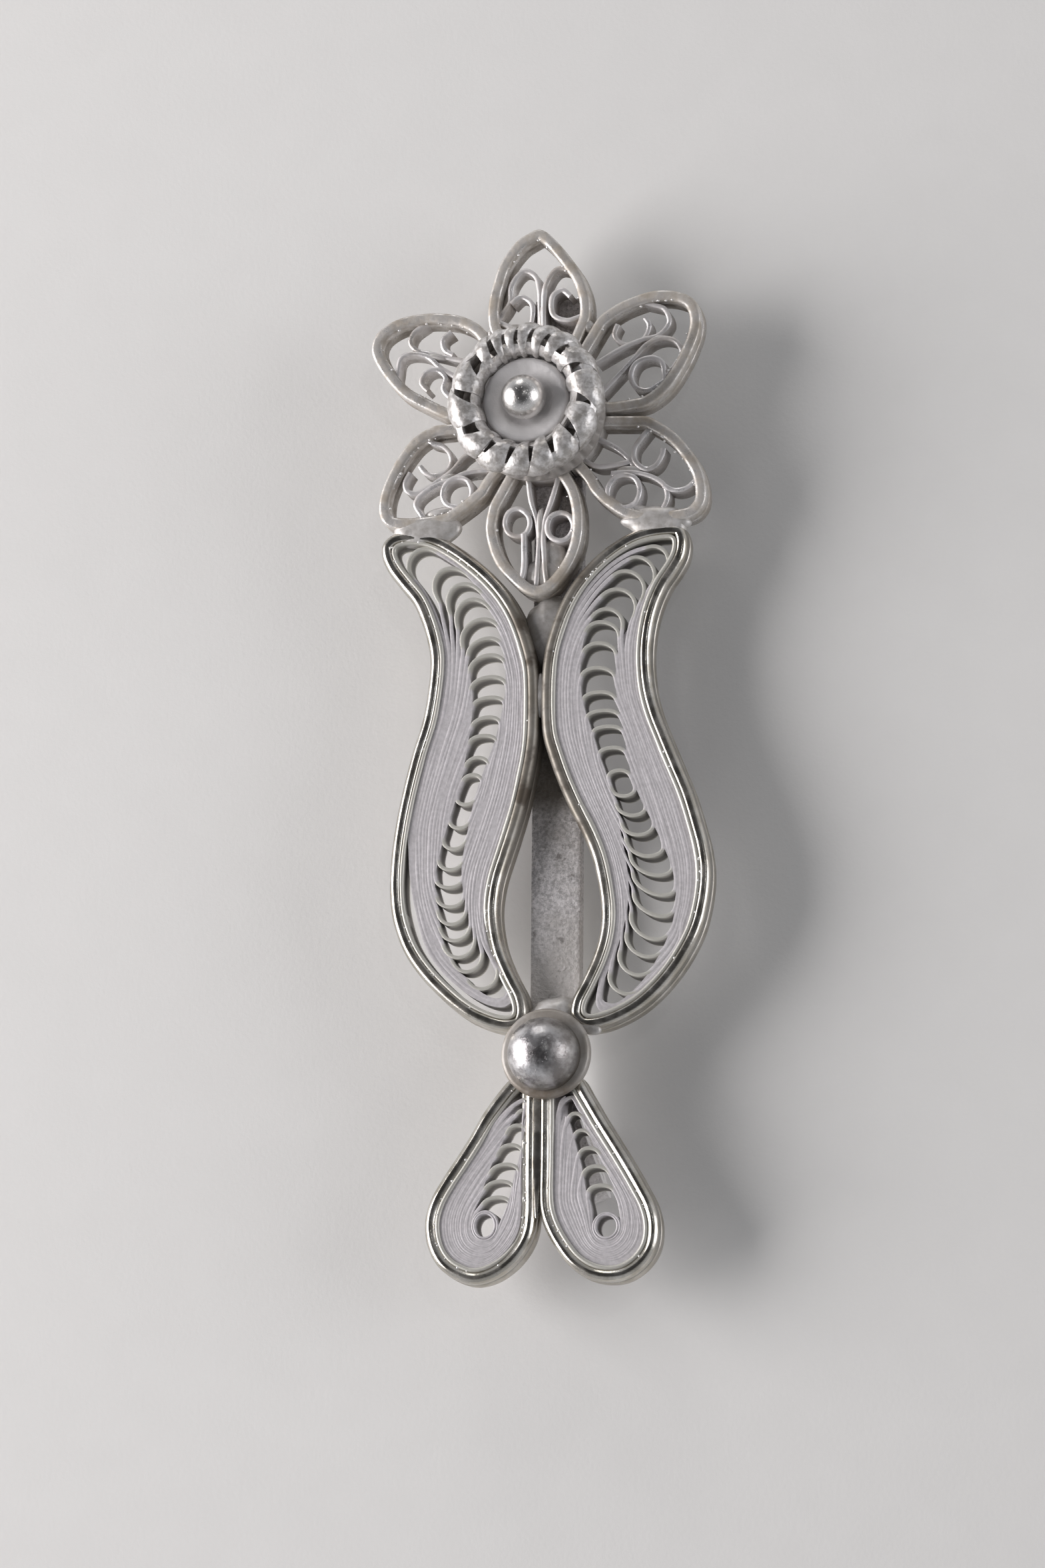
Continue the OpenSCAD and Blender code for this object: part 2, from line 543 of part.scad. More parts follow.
// Flat strip whose lower end falls back and returns as an open hook
module backing_strip() {
    color(matte_silver) {
        translate([strip_x - strip_w / 2, bend_y, strip_back])
            cube([strip_w, strip_top_y - bend_y, strip_t]);
        translate([strip_x, bend_y + catch_lap, 0])
            rotate([0, 0, catch_lean])
                rotate([90, 0, -90])
                    translate([0, 0, -catch_w / 2])
                        linear_extrude(catch_w)
                            polygon([
                                [0, strip_back + sunk], [0, strip_front - sunk],
                                [outer_bend, strip_front - sunk], [catch_fall + end_t, end_t],
                                [catch_fall + end_t, 0], [catch_fall - hook_l, 0],
                                [catch_fall - hook_l, foot_t], [catch_fall, foot_t],
                                [inner_bend, strip_back + sunk]
                            ]);
    }
}

module pin_stem() {
    length = norm(stem_top - stem_tip);
    lean = atan2(stem_tip[0] - stem_top[0], stem_top[1] - stem_tip[1]);
    color(silver) {
        translate([strip_x - foot_w / 2, stem_top[1] - foot_l / 2, 0])
            cube([foot_w, foot_l, strip_back - gap]);
        translate([stem_top[0], stem_top[1], stem_z])
            rotate([0, 0, lean])
                rotate([90, 0, 0]) {
                    cylinder(d = stem_d, h = length - taper_l);
                    translate([0, 0, length - taper_l])
                        cylinder(d1 = stem_d, d2 = point_d, h = taper_l);
                }
    }
}

module centred() translate([-middle_x, 0, 0]) children();

centred() petal_top();
centred() petal_upper_right();
centred() petal_lower_right();
centred() petal_bottom();
centred() petal_lower_left();
centred() petal_upper_left();
centred() leaf_left();
centred() leaf_right();
centred() tail_left();
centred() tail_right();
centred() crown_seat();
centred() crown_coil();
centred() centre_cup();
centred() centre_ball();
centred() dome_collar();
centred() dome();
centred() backing_strip();
centred() pin_stem();
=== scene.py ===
"""A saree pin in silver filigree, lying on its back on a pale table. Sizes are in millimetres."""
import math

import bmesh
import bpy
import numpy as np
from mathutils import Matrix, Vector


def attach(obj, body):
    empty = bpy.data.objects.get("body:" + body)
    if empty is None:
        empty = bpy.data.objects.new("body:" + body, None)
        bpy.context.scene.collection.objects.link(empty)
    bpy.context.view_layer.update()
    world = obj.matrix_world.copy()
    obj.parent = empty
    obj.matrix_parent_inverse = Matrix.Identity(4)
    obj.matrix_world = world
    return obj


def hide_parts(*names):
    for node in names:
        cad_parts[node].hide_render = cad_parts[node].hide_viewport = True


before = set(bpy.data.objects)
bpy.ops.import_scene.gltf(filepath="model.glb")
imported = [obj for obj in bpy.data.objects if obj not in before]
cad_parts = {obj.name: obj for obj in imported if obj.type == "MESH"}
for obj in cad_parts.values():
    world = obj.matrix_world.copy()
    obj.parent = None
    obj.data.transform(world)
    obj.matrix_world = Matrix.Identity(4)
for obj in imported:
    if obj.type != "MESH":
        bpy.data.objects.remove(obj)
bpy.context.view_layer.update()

# Camera: a long lens to the right of the pin and below it, both by the same lean. The tables
# below were read in a frame 0.2 mm to the left of the model's, so shift_x is added to each.
mm = 0.001
shift_x = 0.2
front = 4.45
lean = math.radians(14)
roll = math.radians(0.5)
aim = Vector((-0.98 + shift_x, -2.176, front)) * mm
camera_far = 350 * mm
toward = Vector((math.tan(lean), -math.tan(lean), 1)).normalized()
level_right = Vector((0, 1, 0)).cross(toward).normalized()
level_up = toward.cross(level_right)
right = level_right * math.cos(roll) + level_up * math.sin(roll)
up = level_up * math.cos(roll) - level_right * math.sin(roll)
camera_data = bpy.data.cameras.new("camera")
camera_data.sensor_width = 36
camera_data.lens = 145.8
camera_data.clip_start = 0.01
camera = bpy.data.objects.new("camera", camera_data)
bpy.context.scene.collection.objects.link(camera)
camera.matrix_world = Matrix.Translation(aim + toward * camera_far) @ Matrix(
    [[right[k], up[k], toward[k]] for k in range(3)]).to_4x4()
bpy.context.scene.camera = camera
bpy.context.scene.view_settings.view_transform = "Standard"


class Shade:
    """A value in a material. Arithmetic on it adds Math nodes."""

    def __init__(self, finish, socket):
        self.finish = finish
        self.socket = socket

    def maths(self, operation, *others):
        inputs = dict(enumerate((self, *others)))
        return self.finish.node("ShaderNodeMath", {"operation": operation}, inputs)

    def __add__(self, other):
        return self.maths("ADD", other)

    __radd__ = __add__

    def __mul__(self, other):
        return self.maths("MULTIPLY", other)

    __rmul__ = __mul__

    def __sub__(self, other):
        return self.maths("SUBTRACT", other)

    def __rsub__(self, other):
        return self * -1 + other

    def between(self, low, high):
        """0 at low, 1 at high, with soft ends"""
        settings = {"interpolation_type": "SMOOTHSTEP"}
        return self.finish.node("ShaderNodeMapRange", settings, {0: self, 1: low, 2: high})


class Finish:
    """The nodes of a material for one surface of the pin or the table, or those of the room's light"""

    def __init__(self, name, owners=bpy.data.materials, shader="Principled BSDF", place="Object",
                 **constants):
        self.owner = owners.new(name)
        self.owner.use_nodes = True
        self.tree = self.owner.node_tree
        self.shader = self.tree.nodes[shader]
        for socket, value in constants.items():
            self.shader.inputs[socket].default_value = value
        self.place = self.node("ShaderNodeTexCoord", {}, {}, place)

    def node(self, kind, settings, inputs, result=0):
        made = self.tree.nodes.new(kind)
        for key, value in settings.items():
            setattr(made, key, value)
        for key, value in inputs.items():
            if isinstance(value, Shade):
                self.tree.links.new(value.socket, made.inputs[key])
            else:
                made.inputs[key].default_value = value
        return Shade(self, made.outputs[result])

    def noise(self, size, detail=3, rough=0.55):
        """Cloudy noise whose features are about size millimetres across"""
        inputs = {"Vector": self.place, "Scale": 1 / (size * mm), "Detail": detail, "Roughness": rough}
        return self.node("ShaderNodeTexNoise", {}, inputs)

    def tone(self):
        """The tone that each wire was given when it was built"""
        return self.node("ShaderNodeAttribute", {"attribute_name": "tone"}, {}, "Fac")

    def mix(self, share, one, other, *over):
        """From colour one to the other, with each (share, colour) of over laid on in turn"""
        one, other = [c if isinstance(c, Shade) else (*c, 1) for c in (one, other)]
        mixed = self.node("ShaderNodeMix", {"data_type": "RGBA"}, {0: share, 6: one, 7: other}, 2)
        return self.mix(over[0][0], mixed, over[0][1], *over[1:]) if over else mixed

    def along(self, axis, low, high):
        """0 at low, 1 at high on an axis of the model, in millimetres"""
        place = self.node("ShaderNodeSeparateXYZ", {}, {0: self.place}, axis)
        return place.between(low * mm, high * mm)

    def wear(self, **varying):
        for socket, value in varying.items():
            self.tree.links.new(value.socket, self.shader.inputs[socket.replace("_", " ")])

    def relief(self, *layers):
        """Bumps of (height pattern, depth in millimetres), one on the other"""
        normal = None
        for pattern, deep in layers:
            inputs = {"Height": pattern, "Distance": deep * mm, "Strength": 1.0}
            if normal:
                inputs["Normal"] = normal
            normal = self.node("ShaderNodeBump", {}, inputs)
        self.wear(Normal=normal)


# Table and studio: a plain pale table top. A long window stands on the left, a dimmer one on the
# right, a soft lamp beyond the flower and a small one high on the right, for the grains' sparkle.
table_half = 1400 * mm
table_mesh = bpy.data.meshes.new("table")
table_mesh.from_pydata(
    [(x * table_half, y * table_half, -0.01 * mm) for x, y in ((-1, -1), (1, -1), (1, 1), (-1, 1))],
    [], [(0, 1, 2, 3)])
table = bpy.data.objects.new("table", table_mesh)
bpy.context.scene.collection.objects.link(table)
paper = Finish("paper_table", Roughness=0.85)
paper.wear(Base_Color=paper.mix(paper.noise(3, 4), (0.82, 0.812, 0.795), (0.86, 0.852, 0.835)))
paper.relief((paper.noise(0.25, 2), 0.01))
table_mesh.materials.append(paper.owner)

# name, x, y, height, width, length, watts, colour
lamps = [
    ["window_left", -350, -10, 170, 400, 290, 1.85, (1.0, 0.97, 0.97)],
    ["window_right", 400, 10, 140, 300, 240, 0.5, (0.97, 0.97, 1.0)],
    ["small_lamp", 122, 65, 322, 14, 14, 0.02, (1.0, 1.0, 1.0)],
    ["lamp_beyond", -60, 330, 120, 120, 90, 0.1, (1.0, 0.98, 0.96)],
]
for name, x, y, z, wide, long, watts, colour in lamps:
    lamp_data = bpy.data.lights.new(name, "AREA")
    lamp_data.shape = "ELLIPSE"
    lamp_data.size = wide * mm
    lamp_data.size_y = long * mm
    lamp_data.energy = watts
    lamp_data.color = colour
    lamp = bpy.data.objects.new(name, lamp_data)
    lamp.location = (x * mm, y * mm, z * mm)
    lamp.rotation_euler = Vector((-x, -y, -z)).to_track_quat("-Z", "Y").to_euler()
    bpy.context.scene.collection.objects.link(lamp)
# The room is brighter at its walls than overhead
room = Finish("room", bpy.data.worlds, "Background", "Generated")
overhead = room.node("ShaderNodeSeparateXYZ", {}, {0: room.place}, 2).between(0.3, 0.86)
room.wear(Color=room.mix(overhead, (0.45, 0.455, 0.47), (0.045, 0.045, 0.048)))
bpy.context.scene.world = room.owner


# Backing strip: a flat strip of silver plate behind the whole pin, filed by hand and whitened in
# acid, so its face is grainy and pitted. Its lower end falls to the table and turns back as a hook.
strip_x = 0.54
strip_half = 1.4
strip_top = 26.2
strip_front = 2.8
bend_y = -20.8
# Edges sharper than this stay crisp
sharp_from = math.radians(42)


class Build:
    """Points and faces of one piece. tone marks each wire, so that its finish can differ."""

    def __init__(self):
        self.points = []
        self.faces = []
        self.tones = []

    def skin(self, rails, closed=True, tone=0.5, shut=True):
        """A skin over rails[section][run], closed round the section, and along the run if closed"""
        rails = np.array(rails, float)
        sides, run = rails.shape[:2]
        first = len(self.points)
        self.points += rails.reshape(-1, 3).tolist()
        self.tones += np.broadcast_to(tone, (sides, run)).ravel().tolist()
        i = np.arange(run if closed else run - 1)
        for j in range(sides if shut else sides - 1):
            a = first + j * run
            b = first + (j + 1) % sides * run
            self.faces += np.stack([a + i, a + (i + 1) % run, b + (i + 1) % run, b + i], 1).tolist()
        if not closed and shut:
            self.faces.append([first + j * run for j in range(sides)])
            self.faces.append([first + j * run + run - 1 for j in range(sides)])

    def piece(self, name, finish, *nodes, slot="wirework"):
        """The object, riding on the pin, in place of the CAD nodes it stands for"""
        mesh = bpy.data.meshes.new(name)
        points = np.array(self.points) + (shift_x, 0, 0)
        mesh.from_pydata((points * mm).tolist(), [], self.faces)
        work = bmesh.new()
        work.from_mesh(mesh)
        tone = work.verts.layers.float.new("tone")
        for vertex, value in zip(work.verts, self.tones):
            vertex[tone] = value
        bmesh.ops.remove_doubles(work, verts=work.verts, dist=0.002 * mm)
        bmesh.ops.dissolve_degenerate(work, edges=work.edges, dist=0.001 * mm)
        bmesh.ops.recalc_face_normals(work, faces=work.faces)
        work.to_mesh(mesh)
        work.free()
        mesh.materials.append(finish.owner)
        mesh.shade_smooth()
        mesh.set_sharp_from_angle(angle=sharp_from)
        made = bpy.data.objects.new(name, mesh)
        bpy.context.scene.collection.objects.link(made)
        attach(made, "root")
        if nodes:
            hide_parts(*nodes)


def at_height(line, z):
    """Points of a plan line, raised to one height or to a height each"""
    return np.column_stack([line[:, :2], np.ones(len(line)) * z])


def full_turn(count):
    """Angles evenly round a circle"""
    return np.linspace(0, 2 * math.pi, count, endpoint=False)


def drift(count, every, amount, seed, closed=False):
    """A slow random change along count points, as the hand makes it"""
    chance = np.random.RandomState(seed)
    knots = max(4, round(count / every))
    values = chance.uniform(-1, 1, knots)
    if closed:
        values = np.append(values, values[0])
    at = np.linspace(0, len(values) - 1, count, endpoint=not closed)
    low = np.minimum(at.astype(int), len(values) - 2)
    share = at - low
    share = share * share * (3 - 2 * share)
    return amount * (values[low] * (1 - share) + values[low + 1] * share)


grainy_plate = Finish("grainy_plate", Metallic=0.12)
grain = grainy_plate.noise(0.18, 4, 0.65)
pits = grainy_plate.noise(0.7, 4, 0.62).between(0.40, 0.30)
tarnish = grainy_plate.noise(4, 3).between(0.45, 0.7)
# Painted shadow: the strip is dark brown in a band about the leaves' joint, where it lies in shade,
# fading out to the bare grain
strip_painted_shadow = grainy_plate.along(1, -4, -2.4) * grainy_plate.along(1, 2.5, 0.5)
grainy_plate.wear(
    Base_Color=grainy_plate.mix(
        grain.between(0.32, 0.68), (0.46, 0.445, 0.45), (0.94, 0.91, 0.92),
        (tarnish * 0.4, (0.34, 0.31, 0.27)), (strip_painted_shadow * 0.85, (0.17, 0.145, 0.115)),
        # Painted light: the strip's lower part, from y -8 down to -14, is lightened where it lies in
        # shade
        (grainy_plate.along(1, -8, -14) * 0.6, (0.93, 0.90, 0.88)), (pits * 0.6, (0.13, 0.11, 0.10))),
    Roughness=0.5 + 0.25 * grain)
grainy_plate.relief((grain, 0.09), (grainy_plate.noise(0.5, 3), 0.08))

rows_y = np.arange(bend_y - 0.05, strip_top + 0.001, 0.16)
rows_y[-1] = strip_top
# in from the edge, height below the front face
strip_section = [[0, 0.8], [0, 0.1], [0.03, 0.03], [0.1, 0]]
# The rough front: columns of points, how far they stray from it, how far they lie below it
grain_columns = np.linspace(0.25 - strip_half, strip_half - 0.25, 17)
grain_deep = 0.007
grain_sunk = 0.006
chance = np.random.RandomState(3)


def strip_rail(x, rise):
    """A line down the strip, at a distance from its middle and a rise over its front face"""
    return at_height(np.column_stack([np.full(len(rows_y), strip_x + x), rows_y]), strip_front + rise)


strip = Build()
strip.skin([
    *[strip_rail(inward - strip_half, -below) for inward, below in strip_section],
    *[strip_rail(x, chance.normal(0, grain_deep, len(rows_y)) - grain_sunk) for x in grain_columns],
    *[strip_rail(strip_half - inward, -below) for inward, below in strip_section[::-1]]],
    closed=False)
# Hook, seen from the side: distance along the fall, height. Its inner face comes back up.
catch_lean = math.radians(17)
catch_half = 1.2
catch_start = bend_y + 0.6
catch_side = [
    [-0.1, 2.78], [0.6, 2.78], [1.4, 2.7], [1.9, 2.5], [3.4, 1.75], [4.9, 1.05], [5.1, 0.8],
    [5.1, 0.25], [4.9, 0.02], [4.5, 0], [1.4, 0], [1.2, 0.1], [1.2, 0.5], [1.4, 0.6], [4, 0.6],
    [4.15, 0.7], [3.6, 0.95], [1.4, 1.95], [1, 2.05], [-0.1, 2.05]
]
fall = np.array([math.sin(catch_lean), -math.cos(catch_lean)])
side = np.array([math.cos(catch_lean), math.sin(catch_lean)])
catch_rails = []
for along, z in catch_side:
    base = np.array([strip_x, catch_start]) + along * fall
    catch_rails.append([(*(base + side * t), z) for t in (-catch_half, -0.6, 0, 0.6, catch_half)])
strip.skin(catch_rails, closed=False)
strip.piece("backing_strip_dressed", grainy_plate, "backing_strip", slot="matte_plate")


# Pin: a round hard-drawn wire behind the strip, tapered to a point, soldered to a square foot.
stem_z = 1.15
stem_top = np.array([strip_x, 22.4])
stem_tip = np.array([1.21, -22.4])
foot_half = np.array([1.3, 1.6])
foot_high = 1.95

bright_silver = Finish("bright_silver", Metallic=1.0)
scuffs = bright_silver.noise(0.5, 5, 0.7)
cloud = bright_silver.noise(1.6, 3)
bright_silver.wear(
    Base_Color=bright_silver.mix(cloud, (0.74, 0.72, 0.69), (0.86, 0.85, 0.83)),
    Roughness=0.12 + 0.18 * scuffs)
bright_silver.relief((scuffs, 0.008))

pin = Build()
pin_share = np.concatenate([np.linspace(0, 0.955, 24), np.linspace(0.96, 1, 8)])
pin_radii = np.interp(pin_share, [0, 0.955, 0.99, 1], [0.45, 0.45, 0.19, 0.05])
pin_line = stem_top + (stem_tip - stem_top) * pin_share[:, None]
along_pin = (stem_tip - stem_top) / np.hypot(*(stem_tip - stem_top))
across_pin = pin_radii[:, None] * (along_pin[1], -along_pin[0])
pin.skin([
    at_height(pin_line + across_pin * math.cos(t), stem_z + pin_radii * math.sin(t))
    for t in full_turn(20)], closed=False)
# in from the foot's side, in from its end, height. The ends close to a hairline in its middle.
hairline = foot_half - 0.0001
foot_section = [
    [*hairline, 0], [0.1, 0.1, 0], [0, 0, 0.1], [0, 0, foot_high - 0.1], [0.1, 0.1, foot_high],
    [*hairline, foot_high]
]
foot_rails = []
for inward, also, z in foot_section:
    w, h = foot_half - (inward, also)
    corners = ((-1, -1), (1, -1), (1, 1), (-1, 1))
    foot_rails.append([(stem_top[0] + a * w, stem_top[1] + b * h, z) for a, b in corners])
pin.skin(foot_rails, shut=False)
pin.piece("pin_dressed", bright_silver, "pin_stem", slot="polished")


# Leaves: each has a frame of heavy half-round wire, milled at its side and burnished on top. A
# lining wire runs inside it, and nested loops of fine flat wire on edge fill it: every loop crosses
# the open channel as an arch near the top and again near the bottom, and runs down both sides.
fill_back = 2.87
fill_front = front - 0.2
# Loops that run on round a leaf's lower end, outermost first
round_loops = 2
# A fill wire's greatest width, and how much wider it is than its lane
widest = 0.23
overlap = 1.14
# Lengths over which an arch bends its legs, and over which a second wire reaches its full width
foot_reach = 0.9
taper = 0.7
# The next wire's back stands this much further forward, so that no two share a plane
back_step = 0.006
# The frames are drawn this far inside the solids' outline
clear = 0.006
side_points = 300
lane_blur = 10
# A fold at a bend is looked for this many points away
fold_reach = 90
# The solder between the wires lies this far below them, and falls by so much over its last points
bed_deep = 0.008
bed_fall = 0.55
bed_ends = 7
blur = np.ones(2 * lane_blur + 1) / (2 * lane_blur + 1)


def distances(line):
    """How far along the line each of its points lies"""
    return np.concatenate([[0], np.cumsum(np.hypot(*np.diff(line[:, :2], axis=0).T))])


def away(points, centre):
    """How far each point lies from the centre"""
    return np.hypot(*(points - centre).T)


def spaced(points, step=0.12, closed=False, count=0):
    """The same curve with evenly spaced points: about step apart, or count of them"""
    run = np.vstack([points, points[:1]]) if closed else points
    far = distances(run)
    at = np.linspace(0, far[-1], count or max(4, round(far[-1] / step)) + 1)
    if closed:
        at = at[:-1]
    return np.stack([np.interp(at, far, column) for column in run.T], 1)


def soften(line, passes, closed=False):
    """The line with its corners eased. An open line keeps its ends."""
    for _ in range(passes):
        eased = (np.roll(line, 1, 0) + 2 * line + np.roll(line, -1, 0)) / 4
        if not closed:
            eased[0], eased[-1] = line[0], line[-1]
        line = eased
    return line


def curve(rows, step=0.12, closed=False):
    """A smooth curve through a table's rows, counter-clockwise if closed"""
    p = np.array(rows, float)
    if closed:
        x, y = p[:, 0], p[:, 1]
        if (x * np.roll(y, -1) - y * np.roll(x, -1)).sum() < 0:
            p = p[::-1]
        p = np.vstack([p[-1:], p, p[:2]])
    else:
        p = np.vstack([p[:1], p, p[-1:]])
    t = np.linspace(0, 1, 12, endpoint=False)[:, None]
    parts = []
    for a, b, c, d in zip(p, p[1:], p[2:], p[3:]):
        square, cube = 2 * a - 5 * b + 4 * c - d, 3 * b - a - 3 * c + d
        parts.append((2 * b + (c - a) * t + square * t ** 2 + cube * t ** 3) / 2)
    if not closed:
        parts.append(p[-1:])
    return spaced(np.vstack(parts), step, closed)


def left_of(points, closed):
    """Unit directions to the left of the run"""
    ahead = np.roll(points, -1, 0)[:, :2] - np.roll(points, 1, 0)[:, :2]
    if not closed:
        ahead[0] = points[1, :2] - points[0, :2]
        ahead[-1] = points[-1, :2] - points[-2, :2]
    return np.stack([-ahead[:, 1], ahead[:, 0]], 1) / np.hypot(ahead[:, 0], ahead[:, 1])[:, None]


def crossing(a, b, c, d):
    """Where segment ab meets segment cd, or None"""
    r, s = b - a, d - c
    area = r[0] * s[1] - r[1] * s[0]
    if abs(area) < 1e-12:
        return None
    t = ((c - a)[0] * s[1] - (c - a)[1] * s[0]) / area
    u = ((c - a)[0] * r[1] - (c - a)[1] * r[0]) / area
    return a + r * t if 0 <= t <= 1 and 0 <= u <= 1 else None


def inset(outline, depth):
    """A closed outline moved inwards, with folds at tight bends drawn together to a corner"""
    moved = outline + left_of(outline, True) * depth
    n = len(moved)
    folded = ((np.roll(moved, -1, 0) - moved) * (np.roll(outline, -1, 0) - outline)).sum(1) < 0
    tries = [(back, reach - back) for reach in range(2, fold_reach) for back in range(reach)]
    for start in [i for i in range(n) if folded[i] and not folded[i - 1]]:
        end = start
        while folded[(end + 1) % n]:
            end += 1
        for back, ahead in tries:
            i, j = start - back - 1, end + ahead
            at = crossing(*[moved[k % n] for k in (i, i + 1, j, j + 1)])
            if at is not None:
                for k in range(i + 1, j + 1):
                    moved[k % n] = at
                break
    return moved


def ribbon(build, line, width, top, bottom, closed=False, tone=0.5, edge=0.05):
    """Flat wire on edge along a line, its top softly rounded by edge"""
    side = left_of(line, closed) * (np.ones(len(line)) * width / 2)[:, None]
    # share of the half width, below the top
    rounded = [[-1, edge], [-0.66, edge * 0.3], [0, 0], [0.66, edge * 0.3], [1, edge]]
    rails = [at_height(line[:, :2] + side * across, top - below) for across, below in rounded]
    feet = [at_height(line[:, :2] + side * across, bottom) for across in (-1, 1)]
    build.skin([feet[0], *rails, feet[1]], closed, tone)


def framing(build, outline, section, seed):
    """Frame wire along an outline. Its section is rows of [in from the edge, below the front]."""
    swell = drift(len(outline), 18, 0.03, seed, closed=True)
    rails = []
    for inward, below in section:
        sink = below + (swell * 0.5 + 0.015 if below < 0.3 else 0)
        rails.append(at_height(inset(outline, inward + clear), front - sink))
    build.skin(rails)


def arch(row, width=0.2, count=24):
    """Rows of [x, y, width, 1] over two feet: [left x, left y, right x, right y, rise]"""
    a, b = np.array(row[:2]), np.array(row[2:4])
    half = (b - a) / 2
    rise = np.array([-half[1], half[0]]) / np.hypot(*half) * row[4]
    t = np.linspace(0, math.pi, count)[:, None]
    points = (a + b) / 2 - half * np.cos(t) + rise * np.sin(t)
    return np.column_stack([points, np.full(count, width), np.ones(count)])


def sides_of(outline, high, low):
    """The left and the right side of a closed outline, from its point near high to the one near low"""
    i, j = [away(outline, p).argmin() for p in (high, low)]
    n = len(outline)
    left = outline[(i + np.arange((j - i) % n + 1)) % n]
    right_side = outline[(j + np.arange((i - j) % n + 1)) % n][::-1]
    return [spaced(side, count=side_points) for side in (left, right_side)]


def lanes_of(core, tops, bottoms):
    """Along one side: how many loops lie between the edge and the core at each point, and at which
    points the loops' upper and lower feet stand"""
    top_at, low_at = [[away(core, foot).argmin() for foot in feet] for feet in (tops, bottoms)]
    share = np.linspace(0, 1, side_points)
    knots = [(0, 0.6)] + [(share[at], j + 1) for j, at in enumerate(top_at)]
    knots += [(share[at], len(tops) - j) for j, at in enumerate(low_at)]
    knots.append((1, round_loops if bottoms else len(tops)))
    at = np.maximum.accumulate([knot[0] + 1e-6 * m for m, knot in enumerate(knots)])
    lane = np.interp(share, at, [knot[1] for knot in knots])
    return np.convolve(np.pad(lane, lane_blur, "edge"), blur, "valid"), top_at, low_at[::-1]


def bed(build, outer, core, feet, first):
    """Solder between the wires. It starts at the foot of the first loop given, and thins out there."""
    edges = []
    for sides in (outer, core):
        left, right_side = [sides[k][feet[k][first]:] for k in (0, 1)]
        edges.append(spaced(np.vstack([left, right_side[::-1]]), 0.25))
    count = min(len(edges[0]), len(edges[1]))
    outside, inside = [edge[np.linspace(0, len(edge) - 1, count).astype(int)] for edge in edges]
    from_end = np.minimum(np.arange(count), np.arange(count)[::-1])
    top = fill_front - bed_deep - bed_fall * (1 - (from_end / bed_ends).clip(0, 1)) ** 2
    back = fill_back + 0.03
    build.skin([
        at_height(outside, back), at_height(outside, top),
        at_height(inside, top), at_height(inside, back)], closed=False, tone=0.4)


def fill(build, outer, core, tops, bottoms, pack, seed):
    """Nested loops of flat wire between two pairs of sides. tops and bottoms are arch rows, the top
    ones from the outermost loop inwards, the bottom ones from the innermost outwards. The first
    loops, round_loops of them, run on round the bottom. pack wires lie side by side for each arch."""
    lanes, top_at, low_at = zip(*[
        lanes_of(core[k], *[[row[2 * k:2 * k + 2] for row in rows] for rows in (tops, bottoms)])
        for k in (0, 1)])
    bed(build, outer, core, top_at, 3 if bottoms else 0)
    lower = bottoms[::-1]
    chance = np.random.RandomState(seed)
    for j, sub in [(j, sub) for j in range(len(tops)) for sub in range(pack)]:
        closes = j < round_loops or not bottoms
        arches = [tops[j]] if closes else [tops[j], lower[j - round_loops]]
        legs = []
        for k in (0, 1):
            first = top_at[k][j]
            last = side_points - 1 if closes else low_at[k][j - round_loops]
            pick = np.arange(first, max(last, first + 4) + 1).clip(0, side_points - 1)
            lane = lanes[k][pick]
            part = ((j + (sub + 0.5) / pack) / lane)[:, None].clip(0, 1)
            leg = outer[k][pick] * (1 - part) + core[k][pick] * part
            wide = np.minimum(away(core[k][pick], outer[k][pick]) / lane / pack * overlap, widest)
            far = distances(leg)
            if sub:
                wide = wide * (0.3 + 0.7 * (far / taper).clip(0, 1))
            else:
                for row, end, gone in zip(arches, (0, -1), (far, far[-1] - far)):
                    pull = np.exp(-gone / foot_reach)[:, None]
                    leg = leg + (row[2 * k:2 * k + 2] - leg[end]) * pull
            legs.append(np.column_stack([leg, wide, np.zeros(len(leg))]))
        loop = [legs[1], legs[0][::-1]]
        if sub == 0:
            over, *under = [arch(row) for row in arches]
            loop = [over, legs[1], *[low[::-1] for low in under], legs[0][::-1]]
        closed = sub == 0
        line = soften(spaced(np.vstack(loop), 0.13, closed), 5, closed)
        line[:, 2] += drift(len(line), 9, 0.012, seed + 10 * j + sub, closed=True)
        top = fill_front + chance.uniform(-0.004, 0.004)
        top += drift(len(line), 14, 0.008, seed + j, closed=True)
        tone = chance.uniform(0, 1) * (1 - line[:, 3]) + 2 * line[:, 3]
        back = fill_back + back_step * (1 + (2 * j + sub) % 3)
        ribbon(build, line, line[:, 2], top, back, closed, tone, edge=0.015)


# in from the edge, below the front
leaf_section = [
    [0.02, 1.60], [0.00, 1.45], [0.00, 1.08], [0.04, 0.98], [0.10, 0.93], [0.08, 0.86], [0.02, 0.76],
    [0.02, 0.50], [0.04, 0.32], [0.09, 0.18], [0.17, 0.08], [0.25, 0.02], [0.33, 0.00], [0.47, 0.00],
    [0.54, 0.02], [0.60, 0.07], [0.65, 0.17], [0.67, 0.32], [0.67, 1.60]
]
lining_in = 0.75
lining_w = 0.24
